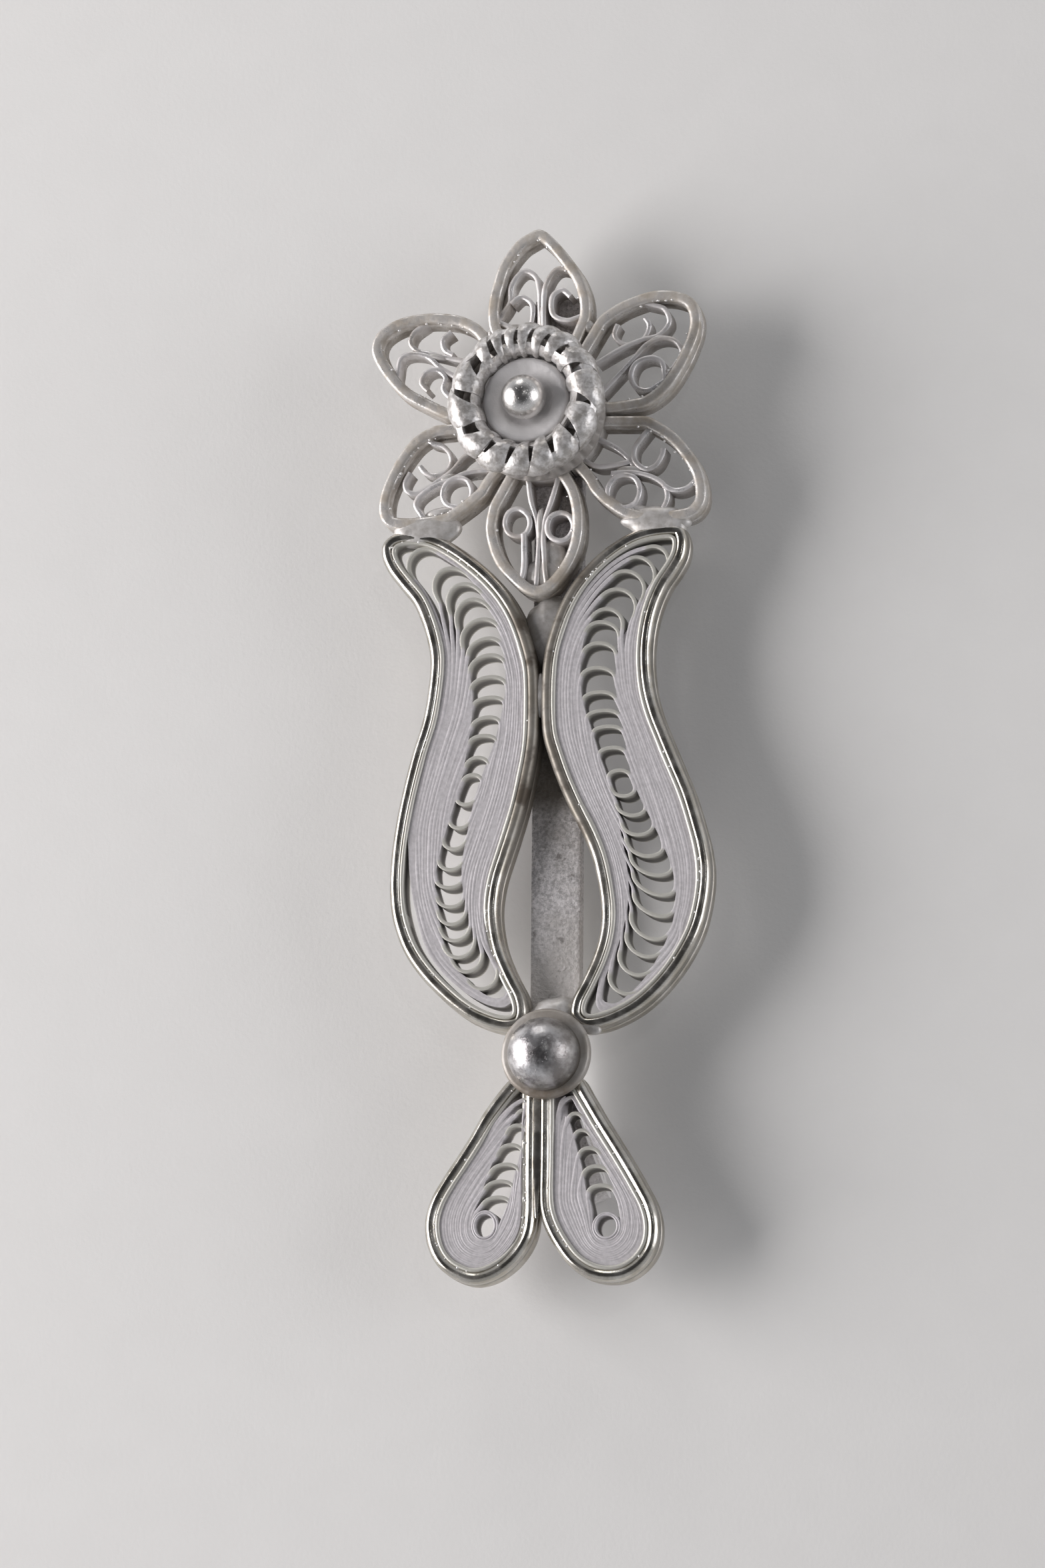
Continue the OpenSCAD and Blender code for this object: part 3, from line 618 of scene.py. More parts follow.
# How far the lining lies below the frame's front, and how much lower along a bare stretch
lining_deep = 0.07
bare_deep = 0.17
leaf_left_edge = [
    [-8, 12.8], [-8.8, 12.6], [-9.3, 12.05], [-9.3, 11.3], [-8.9, 10.4], [-8.15, 9.4], [-7.45, 8.5],
    [-7, 7.5], [-6.65, 6.4], [-6.45, 5.2], [-6.55, 3.6], [-6.85, 1.8], [-7.4, 0], [-7.9, -2],
    [-8.3, -4], [-8.55, -6], [-8.6, -7.8], [-8.4, -9.5], [-7.8, -11.2], [-6.9, -12.6],
    [-5.7, -13.9], [-4.4, -15], [-3.2, -15.65], [-2, -16], [-1, -15.85], [-0.6, -15.1], [-0.75, -14],
    [-1.35, -12.8], [-1.95, -11.4], [-2.25, -10], [-2.3, -8.8], [-2.1, -7.5], [-1.7, -6.2],
    [-1.25, -4.8], [-0.85, -3.4], [-0.5, -1.8], [-0.25, -0.4], [-0.13, 1], [-0.13, 3.4], [-0.25, 4.8],
    [-0.65, 6.3], [-1.2, 7.7], [-1.9, 8.9], [-2.8, 10], [-3.8, 10.95], [-4.9, 11.8], [-6, 12.45],
    [-7, 12.76]
]
leaf_left_channel = [
    [-7.75, 11.6], [-7.65, 10.9], [-7.3, 10.1], [-6.7, 9.1], [-5.9, 7.9], [-5.1, 6.7], [-4.5, 5.6],
    [-4.15, 4.4], [-3.95, 3.2], [-3.95, 2], [-4.1, 0.8], [-4.35, -0.8], [-4.7, -2.4], [-5.2, -4],
    [-5.65, -5.6], [-5.95, -7.2], [-5.9, -8.6], [-5.65, -10], [-5.3, -11.3], [-4.6, -12.5],
    [-3.6, -13.5], [-2.6, -14.1], [-1.95, -14], [-1.9, -13.3], [-2.3, -12.4], [-2.8, -11.5],
    [-3.4, -10.6], [-4, -9.3], [-4.35, -8], [-4.45, -6.6], [-4.2, -5], [-3.85, -3.2], [-3.3, -1.4],
    [-2.7, 0.2], [-2.3, 1.8], [-2.05, 3.4], [-2.15, 5.2], [-2.5, 6.8], [-3.1, 8.2], [-4, 9.5],
    [-5, 10.5], [-6, 11.3], [-6.9, 11.75]
]
leaf_left_tops = [
    [-7.35, 9.9, -6, 11.4, 1.15], [-5.85, 8.5, -4.2, 9.95, 1.4], [-5.2, 7.7, -3.4, 8.85, 1.35],
    [-4.8, 6.9, -2.9, 7.85, 1.3], [-4.5, 5.8, -2.5, 6.95, 1.05], [-4.25, 5.3, -2.3, 5.9, 0.7],
    [-4.15, 4.4, -2.1, 4.85, 0.72], [-4.1, 3.4, -2, 3.6, 0.6], [-3.95, 2.5, -2.1, 2.6, 0.38],
    [-4, 1.25, -2.3, 1.45, 0.45], [-4.15, 0.35, -2.45, 0.35, 0.42], [-4.35, -1.05, -2.9, -1.05, 0.6],
    [-4.5, -1.85, -3.3, -1.85, 0.42]
]
leaf_left_bottoms = [
    [-4.85, -2.75, -3.65, -2.75, -0.4], [-5.25, -3.9, -4, -4.05, -0.5],
    [-5.6, -5, -4.2, -5.1, -0.6], [-5.85, -6.1, -4.35, -6.3, -0.6], [-5.95, -7.3, -4.4, -7.4, -0.45],
    [-5.9, -8.2, -4.3, -8.4, -0.6], [-5.8, -9, -4.15, -9.1, -0.85], [-5.7, -9.9, -3.9, -9.9, -0.92],
    [-5.5, -10.9, -3.65, -10.7, -0.98], [-5, -11.8, -3.25, -11.4, -1],
    [-4.1, -13, -2.4, -12.3, -0.95]
]
# The fill's own edge where it leaves the lining
leaf_left_gap = [
    [-7.5, -5.3], [-7.42, -6.6], [-7.27, -7.9], [-7, -9.2], [-6.55, -10.85], [-6.05, -11.8],
    [-5.37, -12.64], [-4.56, -13.4], [-3.76, -14], [-2.81, -14.5], [-2, -14.68], [-1.5, -14.45],
    [-1.35, -13.85], [-1.6, -12.9]
]
leaf_right_edge = [
    [7.2, 12.33], [7.9, 12.2], [8.2, 11.75], [8.3, 11.1], [8.15, 10.3], [7.7, 9.5], [7.15, 8.7],
    [6.7, 7.7], [6.4, 6.6], [6.25, 5.4], [6.25, 4.2], [6.4, 2.9], [6.75, 1.6], [7.3, 0.2],
    [7.95, -1.4], [8.6, -3], [9.15, -4.8], [9.5, -6.2], [9.65, -7.6], [9.5, -9.2], [9.05, -10.9],
    [8.2, -12.5], [7.2, -13.8], [6, -14.9], [4.8, -15.6], [3.5, -16.05], [2.4, -16.05],
    [1.75, -15.4], [1.8, -14.4], [2.35, -13.3], [2.95, -12], [3.3, -10.8], [3.4, -9.6], [3.25, -8.2],
    [2.9, -6.6], [2.35, -5.2], [1.6, -3.7], [0.9, -2.1], [0.4, -0.7], [0.05, 0.5], [-0.07, 1.8],
    [-0.07, 3.6], [0.05, 5.1], [0.35, 6.4], [0.85, 7.8], [1.55, 9.1], [2.5, 10.25], [3.6, 11.2],
    [4.8, 11.9], [6, 12.25]
]
leaf_right_channel = [
    [7.5, 11.45], [7.7, 10.9], [7.4, 10.1], [6.8, 9.4], [6.1, 8.6], [5.5, 7.6], [4.9, 6.6],
    [4.45, 5.6], [4.25, 4.4], [4.2, 3.2], [4.4, 2], [4.65, 0.8], [4.85, -0.6], [5.15, -2],
    [5.65, -3.3], [6.3, -4.6], [6.9, -5.9], [7.4, -7.2], [7.65, -8.6], [7.55, -9.9], [7.2, -11.1],
    [6.6, -12.3], [5.95, -13.3], [5.1, -14.15], [4.3, -14.68], [3.6, -14.5], [3.5, -13.95],
    [3.75, -13.1], [4.2, -12], [4.6, -10.9], [4.9, -9.6], [5, -8.2], [4.85, -6.8], [4.6, -5.4],
    [4.25, -3.8], [3.85, -2.2], [3.35, -0.8], [2.85, 0.8], [2.4, 2.2], [2.2, 3.6], [2.25, 5],
    [2.5, 6.4], [2.95, 7.6], [3.6, 8.8], [4.5, 10], [5.5, 11], [6.6, 11.5]
]
leaf_right_tops = [
    [5.9, 11, 6.75, 9.4, 0.85], [4.9, 10.4, 6.1, 8.7, 0.85], [4, 9.5, 5.55, 7.9, 1],
    [3.3, 8.3, 5.1, 6.9, 1.15], [2.75, 7.1, 4.5, 6.2, 1], [2.4, 6.3, 4.4, 5.9, 0.8],
    [2.3, 5.15, 4.25, 4.9, 0.68], [2.2, 3.8, 4.2, 3.6, 0.6], [2.3, 2.5, 4.2, 2.5, 0.4],
    [2.5, 1.45, 4.45, 1.5, 0.36], [2.85, 0.6, 4.65, 0.6, 0.32], [3.2, -0.65, 4.8, -0.6, 0.33],
    [3.75, -1.95, 5.05, -1.9, 0.33]
]
leaf_right_bottoms = [
    [3.95, -2.5, 5.4, -2.7, -0.5], [4.25, -3.3, 6, -3.8, -0.65], [4.55, -4.4, 6.45, -4.75, -0.75],
    [4.85, -5.3, 7, -6.1, -0.8], [5.1, -6.3, 7.5, -7.3, -0.75], [5.25, -7.3, 7.65, -8.5, -0.72],
    [5.3, -8.4, 7.55, -9.7, -0.72], [5.2, -9.5, 7.25, -10.95, -0.85],
    [4.95, -10.6, 6.85, -11.9, -0.82], [4.6, -11.6, 6.3, -12.9, -0.85],
    [4, -12.9, 5.5, -14, -0.65]
]
leaf_right_gap = [
    [8.35, -11.5], [8, -12.2], [7.68, -12.7], [6.63, -13.95], [5.54, -14.72], [4.45, -15.25],
    [3.7, -15.33], [3.3, -15.1], [3.25, -14.4], [3.45, -13.6]
]

frame_wire = Finish("frame_wire")
frame_cloud = frame_wire.noise(1.1, 4)
frame_dark = frame_wire.noise(2.2, 4, 0.6).between(0.46, 0.64)
# Darker, browner and duller on the frames' inner runs beside the strip: tarnish there, and painted shade
frame_inner_tarnish_and_shade = frame_wire.along(0, -2.6, -0.9) * frame_wire.along(0, 4.2, 2.2)
frame_inner_tarnish_and_shade = frame_inner_tarnish_and_shade * frame_wire.along(1, -13, -9)
# Random patina patches, with the inner runs' tarnish and painted shade
frame_patina_and_shade = frame_dark * 0.4 + frame_inner_tarnish_and_shade * 0.6
# Painted shade: the frames' walls turn darker and browner towards the back
frame_low_shade = frame_wire.along(2, 3.9, 3.2)
frame_wire.wear(
    Base_Color=frame_wire.mix(
        frame_cloud.between(0.35, 0.65), (0.50, 0.47, 0.41), (0.74, 0.715, 0.665),
        (frame_patina_and_shade, (0.11, 0.09, 0.07)), (frame_low_shade * 0.35, (0.50, 0.46, 0.41))),
    Metallic=1.0 - 0.5 * frame_patina_and_shade,
    Roughness=0.15 + 0.12 * frame_cloud + 0.06 * frame_dark + 0.28 * frame_inner_tarnish_and_shade + 0.15 * frame_low_shade)
frame_wire.relief((frame_wire.noise(0.14, 3, 0.6), 0.003), (frame_wire.noise(0.6, 2), 0.014))

white_wire = Finish("white_wire")
wire_tone = white_wire.tone()
wire_cloud = white_wire.noise(1.3, 3)
wire_mottle = white_wire.noise(0.22, 3, 0.6)
wire_grain = white_wire.noise(0.06, 2)
# Painted shade in the recesses, standing also for patina there: the wires' walls darken towards the back,
# while their back faces stay light
wire_low_shade_and_patina = white_wire.along(2, 4.19, 3.6) * white_wire.along(2, 2.95, 3.15)
wire_share = wire_tone * 0.25 + wire_cloud * 0.4 + wire_mottle.between(0.3, 0.7) * 0.4
# The tone is 2 on the arches, which are brushed brighter than the bundles
arch_share = wire_tone.between(1.2, 1.9)
white_wire.wear(
    Base_Color=white_wire.mix(
        wire_share, (0.48, 0.46, 0.47), (0.74, 0.71, 0.73),
        (arch_share * 0.8, (0.64, 0.63, 0.56)), (wire_low_shade_and_patina * 0.85, (0.13, 0.12, 0.11))),
    Metallic=0.3 + 0.25 * arch_share,
    Roughness=0.42 + 0.25 * wire_grain - 0.08 * arch_share)
white_wire.relief((wire_grain, 0.005), (wire_mottle, 0.009))


def splice(outline, rows):
    """The closed outline, with its nearer part between the ends of rows replaced by a curve through
    rows"""
    i, j = [away(outline, rows[k]).argmin() for k in (0, -1)]
    n = len(outline)
    middle = curve(rows)
    if (j - i) % n > (i - j) % n:
        i, j = j, i
        middle = middle[::-1]
    rest = outline[(j + 1 + np.arange((i - j - 1) % n)) % n]
    return soften(spaced(np.vstack([middle, rest]), closed=True), 8, closed=True)


def dress(name, edge, core, tops, bottoms, gap, ends, pack, seed, bare, rings=(),
          section=leaf_section):
    """One leaf or tail: its frame, and its lining and fill. gap is the fill's own edge where it
    leaves the lining. ends are the outline's and the core's points where the left side meets the
    right, above and below. The lining sits low along bare, rows of [x, y, reach]."""
    tip, heel, high, low = ends
    outline = curve(edge, 0.14, closed=True)
    wire = Build()
    framing(wire, outline, section, seed)
    wire.piece(name + "_frame", frame_wire, name)
    fine = Build()
    lining = soften(spaced(inset(outline, lining_in), closed=True), 6, closed=True)
    swell = 1 + drift(len(lining), 12, 0.12, seed + 3, closed=True)
    sunk = np.zeros(len(lining))
    for x, y, reach in bare:
        sunk = np.maximum(sunk, (1.5 - away(lining, (x, y)) / reach * 1.5).clip(0, 1))
    lining_top = front - lining_deep - bare_deep * sunk
    ribbon(fine, lining, lining_w * swell, lining_top, fill_back, True, 2, edge=0.07)
    limit = inset(outline, lining_in + lining_w / 2)
    if gap:
        limit = splice(limit, gap)
    fill(fine, sides_of(limit, tip, heel), sides_of(curve(core, 0.1, closed=True), high, low),
         tops, bottoms, pack, seed)
    for x, y, wide, tall in rings:
        turn = full_turn(48)
        ring = np.column_stack([x + wide * np.cos(turn), y + tall * np.sin(turn)])
        ribbon(fine, ring, 0.13, fill_front + 0.02, fill_back, closed=True, tone=0.6)
    fine.piece(name + "_fill", white_wire, name)


dress("leaf_left", leaf_left_edge, leaf_left_channel, leaf_left_tops, leaf_left_bottoms, leaf_left_gap,
      [(-8.8, 12.6), (-1.8, -14.65), (-7.6, 11.7), (-2.0, -14.05)], 1, 11, [[-2.6, -11.3, 3]])
dress("leaf_right", leaf_right_edge, leaf_right_channel, leaf_right_tops, leaf_right_bottoms,
      leaf_right_gap, [(8.0, 12.1), (3.5, -15.25), (7.55, 11.4), (3.8, -14.6)], 1, 47, [])


# Tails: two drops made as the leaves are, but wound round an open eye near the end. Their inner
# sides touch, and solder fills the seam. Two fine wires lie side by side for each arch.
tail_left_edge = [
    [-1.6, -18.6], [-2.4, -19.5], [-3.2, -20.6], [-3.9, -21.8], [-4.65, -22.95], [-5.4, -24.05],
    [-6.05, -25.2], [-6.35, -26.4], [-6.2, -27.7], [-5.65, -28.8], [-4.8, -29.5], [-3.7, -29.9],
    [-2.6, -29.75], [-1.6, -29.2], [-0.8, -28.4], [-0.25, -27.4], [-0.05, -26.2], [-0.05, -24],
    [-0.05, -21.6], [-0.05, -19.4], [-0.1, -18.4], [-0.8, -18]
]
tail_left_core = [
    [-0.7, -19.9], [-1.15, -20.4], [-1.6, -21.3], [-2.1, -22.4], [-2.6, -23.4], [-2.95, -24.4],
    [-3.2, -25.2], [-3.55, -25.9], [-3.72, -26.6], [-3.6, -27.2], [-2.95, -27.55], [-2.35, -27.3],
    [-2.12, -26.7], [-1.9, -26.2], [-1.75, -25.8], [-1.5, -25], [-1.3, -24], [-1, -22.9],
    [-0.8, -21.8], [-0.6, -20.8], [-0.45, -20]
]
tail_left_arches = [
    [-0.85, -19.85, -0.5, -19.85, 0.1],
    [-1.2, -20.7, -0.45, -20.7, 0.35], [-1.8, -21.8, -0.6, -21.6, 0.5],
    [-2.3, -22.9, -0.8, -22.8, 0.58], [-2.7, -23.9, -1, -23.8, 0.5], [-3, -24.8, -1.3, -24.7, 0.48],
    [-3.1, -25.6, -1.5, -25.5, 0.4]
]
tail_right_edge = [
    [2.3, -18.6], [2.95, -19.6], [3.65, -20.8], [4.4, -22], [5.2, -23.3], [5.95, -24.6],
    [6.55, -25.8], [6.8, -27], [6.65, -28.2], [6, -29.2], [5, -29.85], [3.9, -30], [2.8, -29.75],
    [1.8, -29.1], [1, -28.1], [0.35, -26.9], [0.02, -25.6], [0.02, -23.4], [0.02, -21.2],
    [0.02, -19.4], [0.1, -18.4], [1.1, -18]
]
tail_right_core = [
    [1.7, -19.9], [1.6, -20.6], [1.9, -21.6], [2.2, -22.7], [2.5, -23.8], [2.7, -24.9],
    [2.95, -25.6], [3.05, -26.3], [3.08, -26.95], [3.3, -27.5], [3.85, -27.75], [4.4, -27.5],
    [4.68, -26.95], [4.65, -26.4], [4.5, -25.7], [4.2, -24.8], [3.8, -23.9], [3.3, -22.9],
    [2.8, -21.8], [2.3, -20.7], [2, -20]
]
tail_right_arches = [
    [1.65, -19.85, 1.95, -19.85, 0.1],
    [1.7, -20.9, 2.5, -21, 0.3], [2, -21.9, 2.95, -22, 0.35], [2.25, -23, 3.5, -23.1, 0.45],
    [2.5, -24.1, 4, -24.1, 0.48], [2.75, -25.1, 4.3, -25.1, 0.42]
]
# in from the edge, below the front: burnished to a slant on both sides
tail_section = leaf_section[:8] + [
    [0.03, 0.32], [0.06, 0.20], [0.10, 0.14], [0.21, 0.05], [0.27, 0.01], [0.32, 0.00], [0.40, 0.00],
    [0.45, 0.02], [0.60, 0.11], [0.65, 0.17], [0.67, 0.32], [0.67, 1.60]
]
# x, y, half width, half height of the wires round each eye
tail_left_rings = [[-2.95, -26.7, 0.58, 0.68], [-2.93, -26.72, 0.7, 0.8]]
tail_right_rings = [[3.85, -26.95, 0.62, 0.64], [3.86, -26.98, 0.74, 0.75]]
dress("tail_left", tail_left_edge, tail_left_core, tail_left_arches, [], [],
      [(-0.7, -18.0), (-3.3, -29.9), (-0.55, -19.9), (-2.95, -27.55)], 2, 83,
      [[-0.6, -20.5, 3], [-0.6, -24, 3], [-1, -26.6, 3]], tail_left_rings, tail_section)
dress("tail_right", tail_right_edge, tail_right_core, tail_right_arches, [], [],
      [(0.9, -18.0), (3.6, -30.0), (1.85, -19.9), (3.85, -27.75)], 2, 84,
      [], tail_right_rings, tail_section)

seam = Build()
seam_line = curve([[-0.02, -19.6], [-0.02, -22], [-0.02, -24.4], [-0.02, -26.4]], 0.15)
thinning = np.linspace(3, 0.1, len(seam_line)).clip(0, 1) ** 0.5
seam_w = (0.38 + drift(len(seam_line), 9, 0.04, 6)) * thinning
ribbon(seam, seam_line, seam_w, front - 0.04, front - 0.6, edge=0.02)
seam.piece("tail_seam_solder", frame_wire)


# Petals: six frames of two flat wires laid one on the other, with scrolls of fine flat wire inside.
# All are soldered to a ring of wire under the crown.
hub = np.array([-0.25, 19])
petal_top_edge = [
    [-2.9, 23.6], [-3.25, 24.6], [-3.25, 25.7], [-3, 26.9], [-2.55, 28.2], [-1.7, 29.3], [-0.9, 29.8],
    [-0.4, 30], [0.1, 29.8], [0.8, 29.1], [1.55, 28.1], [2.2, 27.1], [2.6, 26], [2.7, 24.9], [2.45, 23.9],
    [0.8, 20.8], [-1.3, 20.8]
]
petal_top_wires = [
    [[-2.6, 25], [-2.05, 25.8], [-1.95, 26.8], [-1.3, 27.6], [-0.6, 27.3], [-0.35, 26.5], [-0.3, 25.4],
        [-0.3, 23.5]],
    [[-1.95, 25.7], [-1.4, 26.1], [-0.8, 25.7], [-0.7, 25], [-0.9, 24.3], [-1.6, 24.2], [-2.3, 24.5]],
    [[1.9, 26.9], [1.3, 27.5], [0.65, 27.55], [0.15, 26.9], [-0.05, 26], [-0.05, 23.5]],
    [[1.5, 25.9], [1, 26.3], [0.45, 25.9], [0.5, 24.9], [1.3, 24.5], [2.1, 24.7]]
]

petal_upper_right_edge = [
    [2.75, 24.1], [3.9, 25.1], [5.2, 25.65], [6.5, 25.9], [7.7, 25.75], [8.6, 25.25], [9, 24.3],
    [8.95, 23.3], [8.6, 22.3], [8.05, 21.2], [7.3, 20.1], [6.3, 19.3], [5.3, 19], [3, 19.1], [1.3, 21.4]
]
petal_upper_right_wires = [
    [[4.2, 24.1], [4, 23.5], [4.4, 23], [5, 22.9], [5.7, 23.2], [6, 23.9], [5.75, 24.4]],
    [[3, 21.9], [4.5, 22.7], [5.6, 23.1], [6.5, 23.3], [7.15, 24], [6.9, 24.8], [6.2, 25.1]],
    [[3.3, 20.1], [4.5, 21.35], [5.2, 22.1], [5.9, 22.8], [6.7, 23.1], [7.5, 22.9], [7.9, 22.2],
        [7.5, 21.5]],
    [[6.9, 21], [6.75, 21.7], [6.1, 22], [5.3, 21.75], [5, 21], [5.3, 20.3], [6, 20.1], [6.6, 20.4]]
]

petal_lower_right_edge = [
    [5.65, 18.65], [6.6, 18.25], [7.6, 17.5], [8.5, 16.4], [9.1, 15.3], [9.35, 14.2], [9.25, 13.3],
    [8.6, 12.6], [7.4, 12.4], [6, 12.4], [4.7, 12.75], [3.6, 13.5], [2.8, 14.3], [2.4, 15],
    [1.1, 17], [2.8, 18.7]
]
petal_lower_right_wires = [
    [[2.9, 17.6], [4.1, 16.95], [4.85, 16.25], [5.3, 15.5]],
    [[2.2, 16.4], [3, 15.9], [4, 15.9], [4.9, 16.05]],
    [[6, 17.85], [5.55, 17.3], [5.2, 16.75], [5.25, 16.05], [5.85, 15.55], [6.45, 15.75], [6.78, 16.3],
        [6.85, 16.7]],
    [[3.9, 15.4], [5.1, 15.4], [6.25, 15.05], [6.95, 14.5], [7.1, 13.8], [6.85, 13.2]],
    [[6.9, 14.5], [7.5, 14.2], [8.2, 14.3], [8.8, 14.8]],
    [[5.55, 14.3], [5.3, 13.6], [4.65, 13.35], [4, 13.6], [3.7, 14.3], [4, 15], [4.65, 15.25],
        [5.3, 15], [5.55, 14.3]]
]

petal_bottom_edge = [
    [-2.8, 14.8], [-3.15, 13.7], [-3.3, 12.6], [-3.05, 11.35], [-2.55, 10.3], [-1.8, 9.45],
    [-1.1, 8.8], [-0.35, 8.5], [0.4, 8.7], [1.15, 9.35], [1.85, 10.4], [2.25, 11.5], [2.35, 12.6],
    [2.25, 13.8], [1.8, 15.1], [0.4, 17], [-1.2, 17]
]
petal_bottom_wires = [
    [[-0.9, 15.4], [-0.75, 14.2], [-0.4, 13], [-0.25, 12], [-0.3, 11], [-0.35, 9.9], [-0.4, 9.2]],
    [[0.8, 15.2], [0.45, 14], [0.1, 13], [0, 12], [0.05, 11], [0.1, 10.2], [0.2, 9.4]],
    [[-0.75, 12.85], [-0.95, 12.3], [-1.45, 12.1], [-2, 12.35], [-2.2, 12.9], [-2, 13.5],
        [-1.45, 13.7], [-0.95, 13.4], [-0.75, 12.85]],
    [[1.75, 12.5], [1.5, 11.9], [1, 11.7], [0.45, 11.95], [0.25, 12.5], [0.45, 13.1], [1, 13.3],
        [1.5, 13.1], [1.75, 12.5]],
    [[-1.1, 12.2], [-1.05, 11], [-1.1, 10], [-1.3, 9.4]]
]

petal_lower_left_edge = [
    [-5.6, 18.9], [-6.6, 18.7], [-7.6, 18.1], [-8.4, 17.1], [-9, 16], [-9.4, 14.9], [-9.45, 13.8],
    [-9, 13.1], [-8, 12.87], [-6.7, 12.87], [-5.4, 13.05], [-4.3, 13.7], [-3.3, 14.5], [-2.9, 15.1],
    [-1.7, 17], [-3.2, 18.6]
]
petal_lower_left_wires = [
    [[-6.75, 18.1], [-6.4, 17.85], [-5.85, 17.65], [-5.45, 17.2], [-5.35, 16.65], [-5.7, 16.15],
        [-6.3, 15.95], [-6.85, 16.15], [-7.15, 16.55]],
    [[-3.6, 17.6], [-4.6, 16.9], [-5.3, 16.15], [-6, 15.65], [-7.2, 15], [-7.85, 15.1], [-8, 15.6],
        [-7.7, 16.2]],
    [[-2.8, 16.1], [-4.3, 16], [-5.2, 15.7], [-6.3, 15.3], [-7.1, 14.8], [-7.35, 14.3],
        [-7.1, 13.8], [-6.7, 13.2]],
    [[-4.1, 14.85], [-4.35, 14.2], [-4.95, 14], [-5.6, 14.25], [-5.8, 14.85], [-5.55, 15.45],
        [-4.95, 15.7], [-4.35, 15.5], [-4.1, 14.85]]
]

petal_upper_left_edge = [
    [-3.3, 24.1], [-4.5, 25.05], [-5.8, 25.4], [-7.3, 25.45], [-8.7, 25.15], [-9.7, 24.5],
    [-10.05, 23.6], [-9.8, 22.7], [-9.1, 21.6], [-8.2, 20.6], [-7.1, 19.9], [-6.1, 19.35],
    [-5.3, 19.05], [-3.4, 19.2], [-1.8, 21.4]
]
petal_upper_left_wires = [
    [[-6.9, 24.9], [-7.6, 24.4], [-7.8, 23.8], [-7.3, 23.3], [-6.4, 23.05], [-5.4, 22.75],
        [-3.4, 22.2]],
    [[-5.4, 24.3], [-5.9, 23.9], [-5.8, 23.3], [-5.3, 22.95]],
    [[-8.5, 22.2], [-8.35, 22.9], [-7.8, 23.15], [-6.8, 22.95], [-6.1, 22.3], [-5.4, 21.8],
        [-3.6, 20.8]],
    [[-6.7, 20.9], [-7.1, 21.4], [-6.8, 22], [-6.2, 22.1], [-5.7, 21.6], [-5.8, 20.9], [-5.2, 20.2]]
]

# name, seed, first and last angle of the sector that it keeps to, edge, wires
petals = [
    ["petal_top", 5, 59.5, 120.5, petal_top_edge, petal_top_wires],
    ["petal_upper_right", 15, -3, 59.5, petal_upper_right_edge, petal_upper_right_wires],
    ["petal_lower_right", 25, -61, -3, petal_lower_right_edge, petal_lower_right_wires],
    ["petal_bottom", 35, -120, -61, petal_bottom_edge, petal_bottom_wires],
    ["petal_lower_left", 45, 181, 240, petal_lower_left_edge, petal_lower_left_wires],
    ["petal_upper_left", 55, 120.5, 181, petal_upper_left_edge, petal_upper_left_wires],
]

# in from the edge, below the front
petal_section = [
    [0.03, 1.60], [0.00, 1.52], [0.00, 0.98], [0.04, 0.90], [0.10, 0.86], [0.05, 0.82], [0.02, 0.74],
    [0.02, 0.20], [0.05, 0.08], [0.11, 0.02], [0.20, 0.00], [0.44, 0.00], [0.57, 0.03], [0.64, 0.10],
    [0.66, 0.24], [0.66, 0.70], [0.62, 0.76], [0.62, 0.86], [0.66, 0.94], [0.66, 1.60]
]
scroll_w = 0.27
scroll_deep = 0.27
scroll_rise = 0.05
# A scroll whose end is this near to the petal's edge joins it already; one further off stays free
joined = 0.3
apart = 0.95
# The petal's share of the ring of wire under the crown: distance from the hub, height
root_out = 3.75
root_section = [
    [2.1, fill_back], [2.1, 4.2], [2.2, 4.3], [root_out - 0.1, 4.3], [root_out, 4.2],
    [root_out, fill_back]
]

petal_silver = Finish("petal_silver", Metallic=0.5)
petal_cloud = petal_silver.noise(0.9, 5, 0.65)
petal_grain = petal_silver.noise(0.1, 3, 0.6)
petal_tarnish = petal_silver.noise(2.2, 3).between(0.5, 0.68)
# Painted shade: the petals' walls darken towards the back
petal_low_shade = petal_silver.along(2, 4.1, 3.1)
petal_silver.wear(
    Base_Color=petal_silver.mix(
        petal_cloud.between(0.3, 0.7), (0.52, 0.475, 0.42), (0.78, 0.755, 0.73),
        (petal_silver.tone() * 0.8, (0.80, 0.78, 0.79)), (petal_tarnish * 0.45, (0.34, 0.28, 0.21)),
        (petal_low_shade * 0.55, (0.24, 0.21, 0.18))),
    Roughness=0.62 - 0.4 * petal_cloud.between(0.35, 0.7))
petal_silver.relief((petal_grain, 0.006), (petal_silver.noise(0.5, 2), 0.03))


def polar(centre, r, angle):
    """Points at a distance and an angle from the centre"""
    return centre + np.stack([r * np.cos(angle), r * np.sin(angle)], 1)


def to_frame(scroll, line):
    """The same wire, run on at its end until it is well inside the frame, if it ends beside it"""
    ahead = scroll[-1] - scroll[-3]
    ahead /= np.hypot(*ahead)
    for step in range(8):
        far = away(line, scroll[-1]).min()
        if far < joined or far > apart:
            break
        scroll = np.vstack([scroll, scroll[-1] + ahead * 0.09])
    return scroll


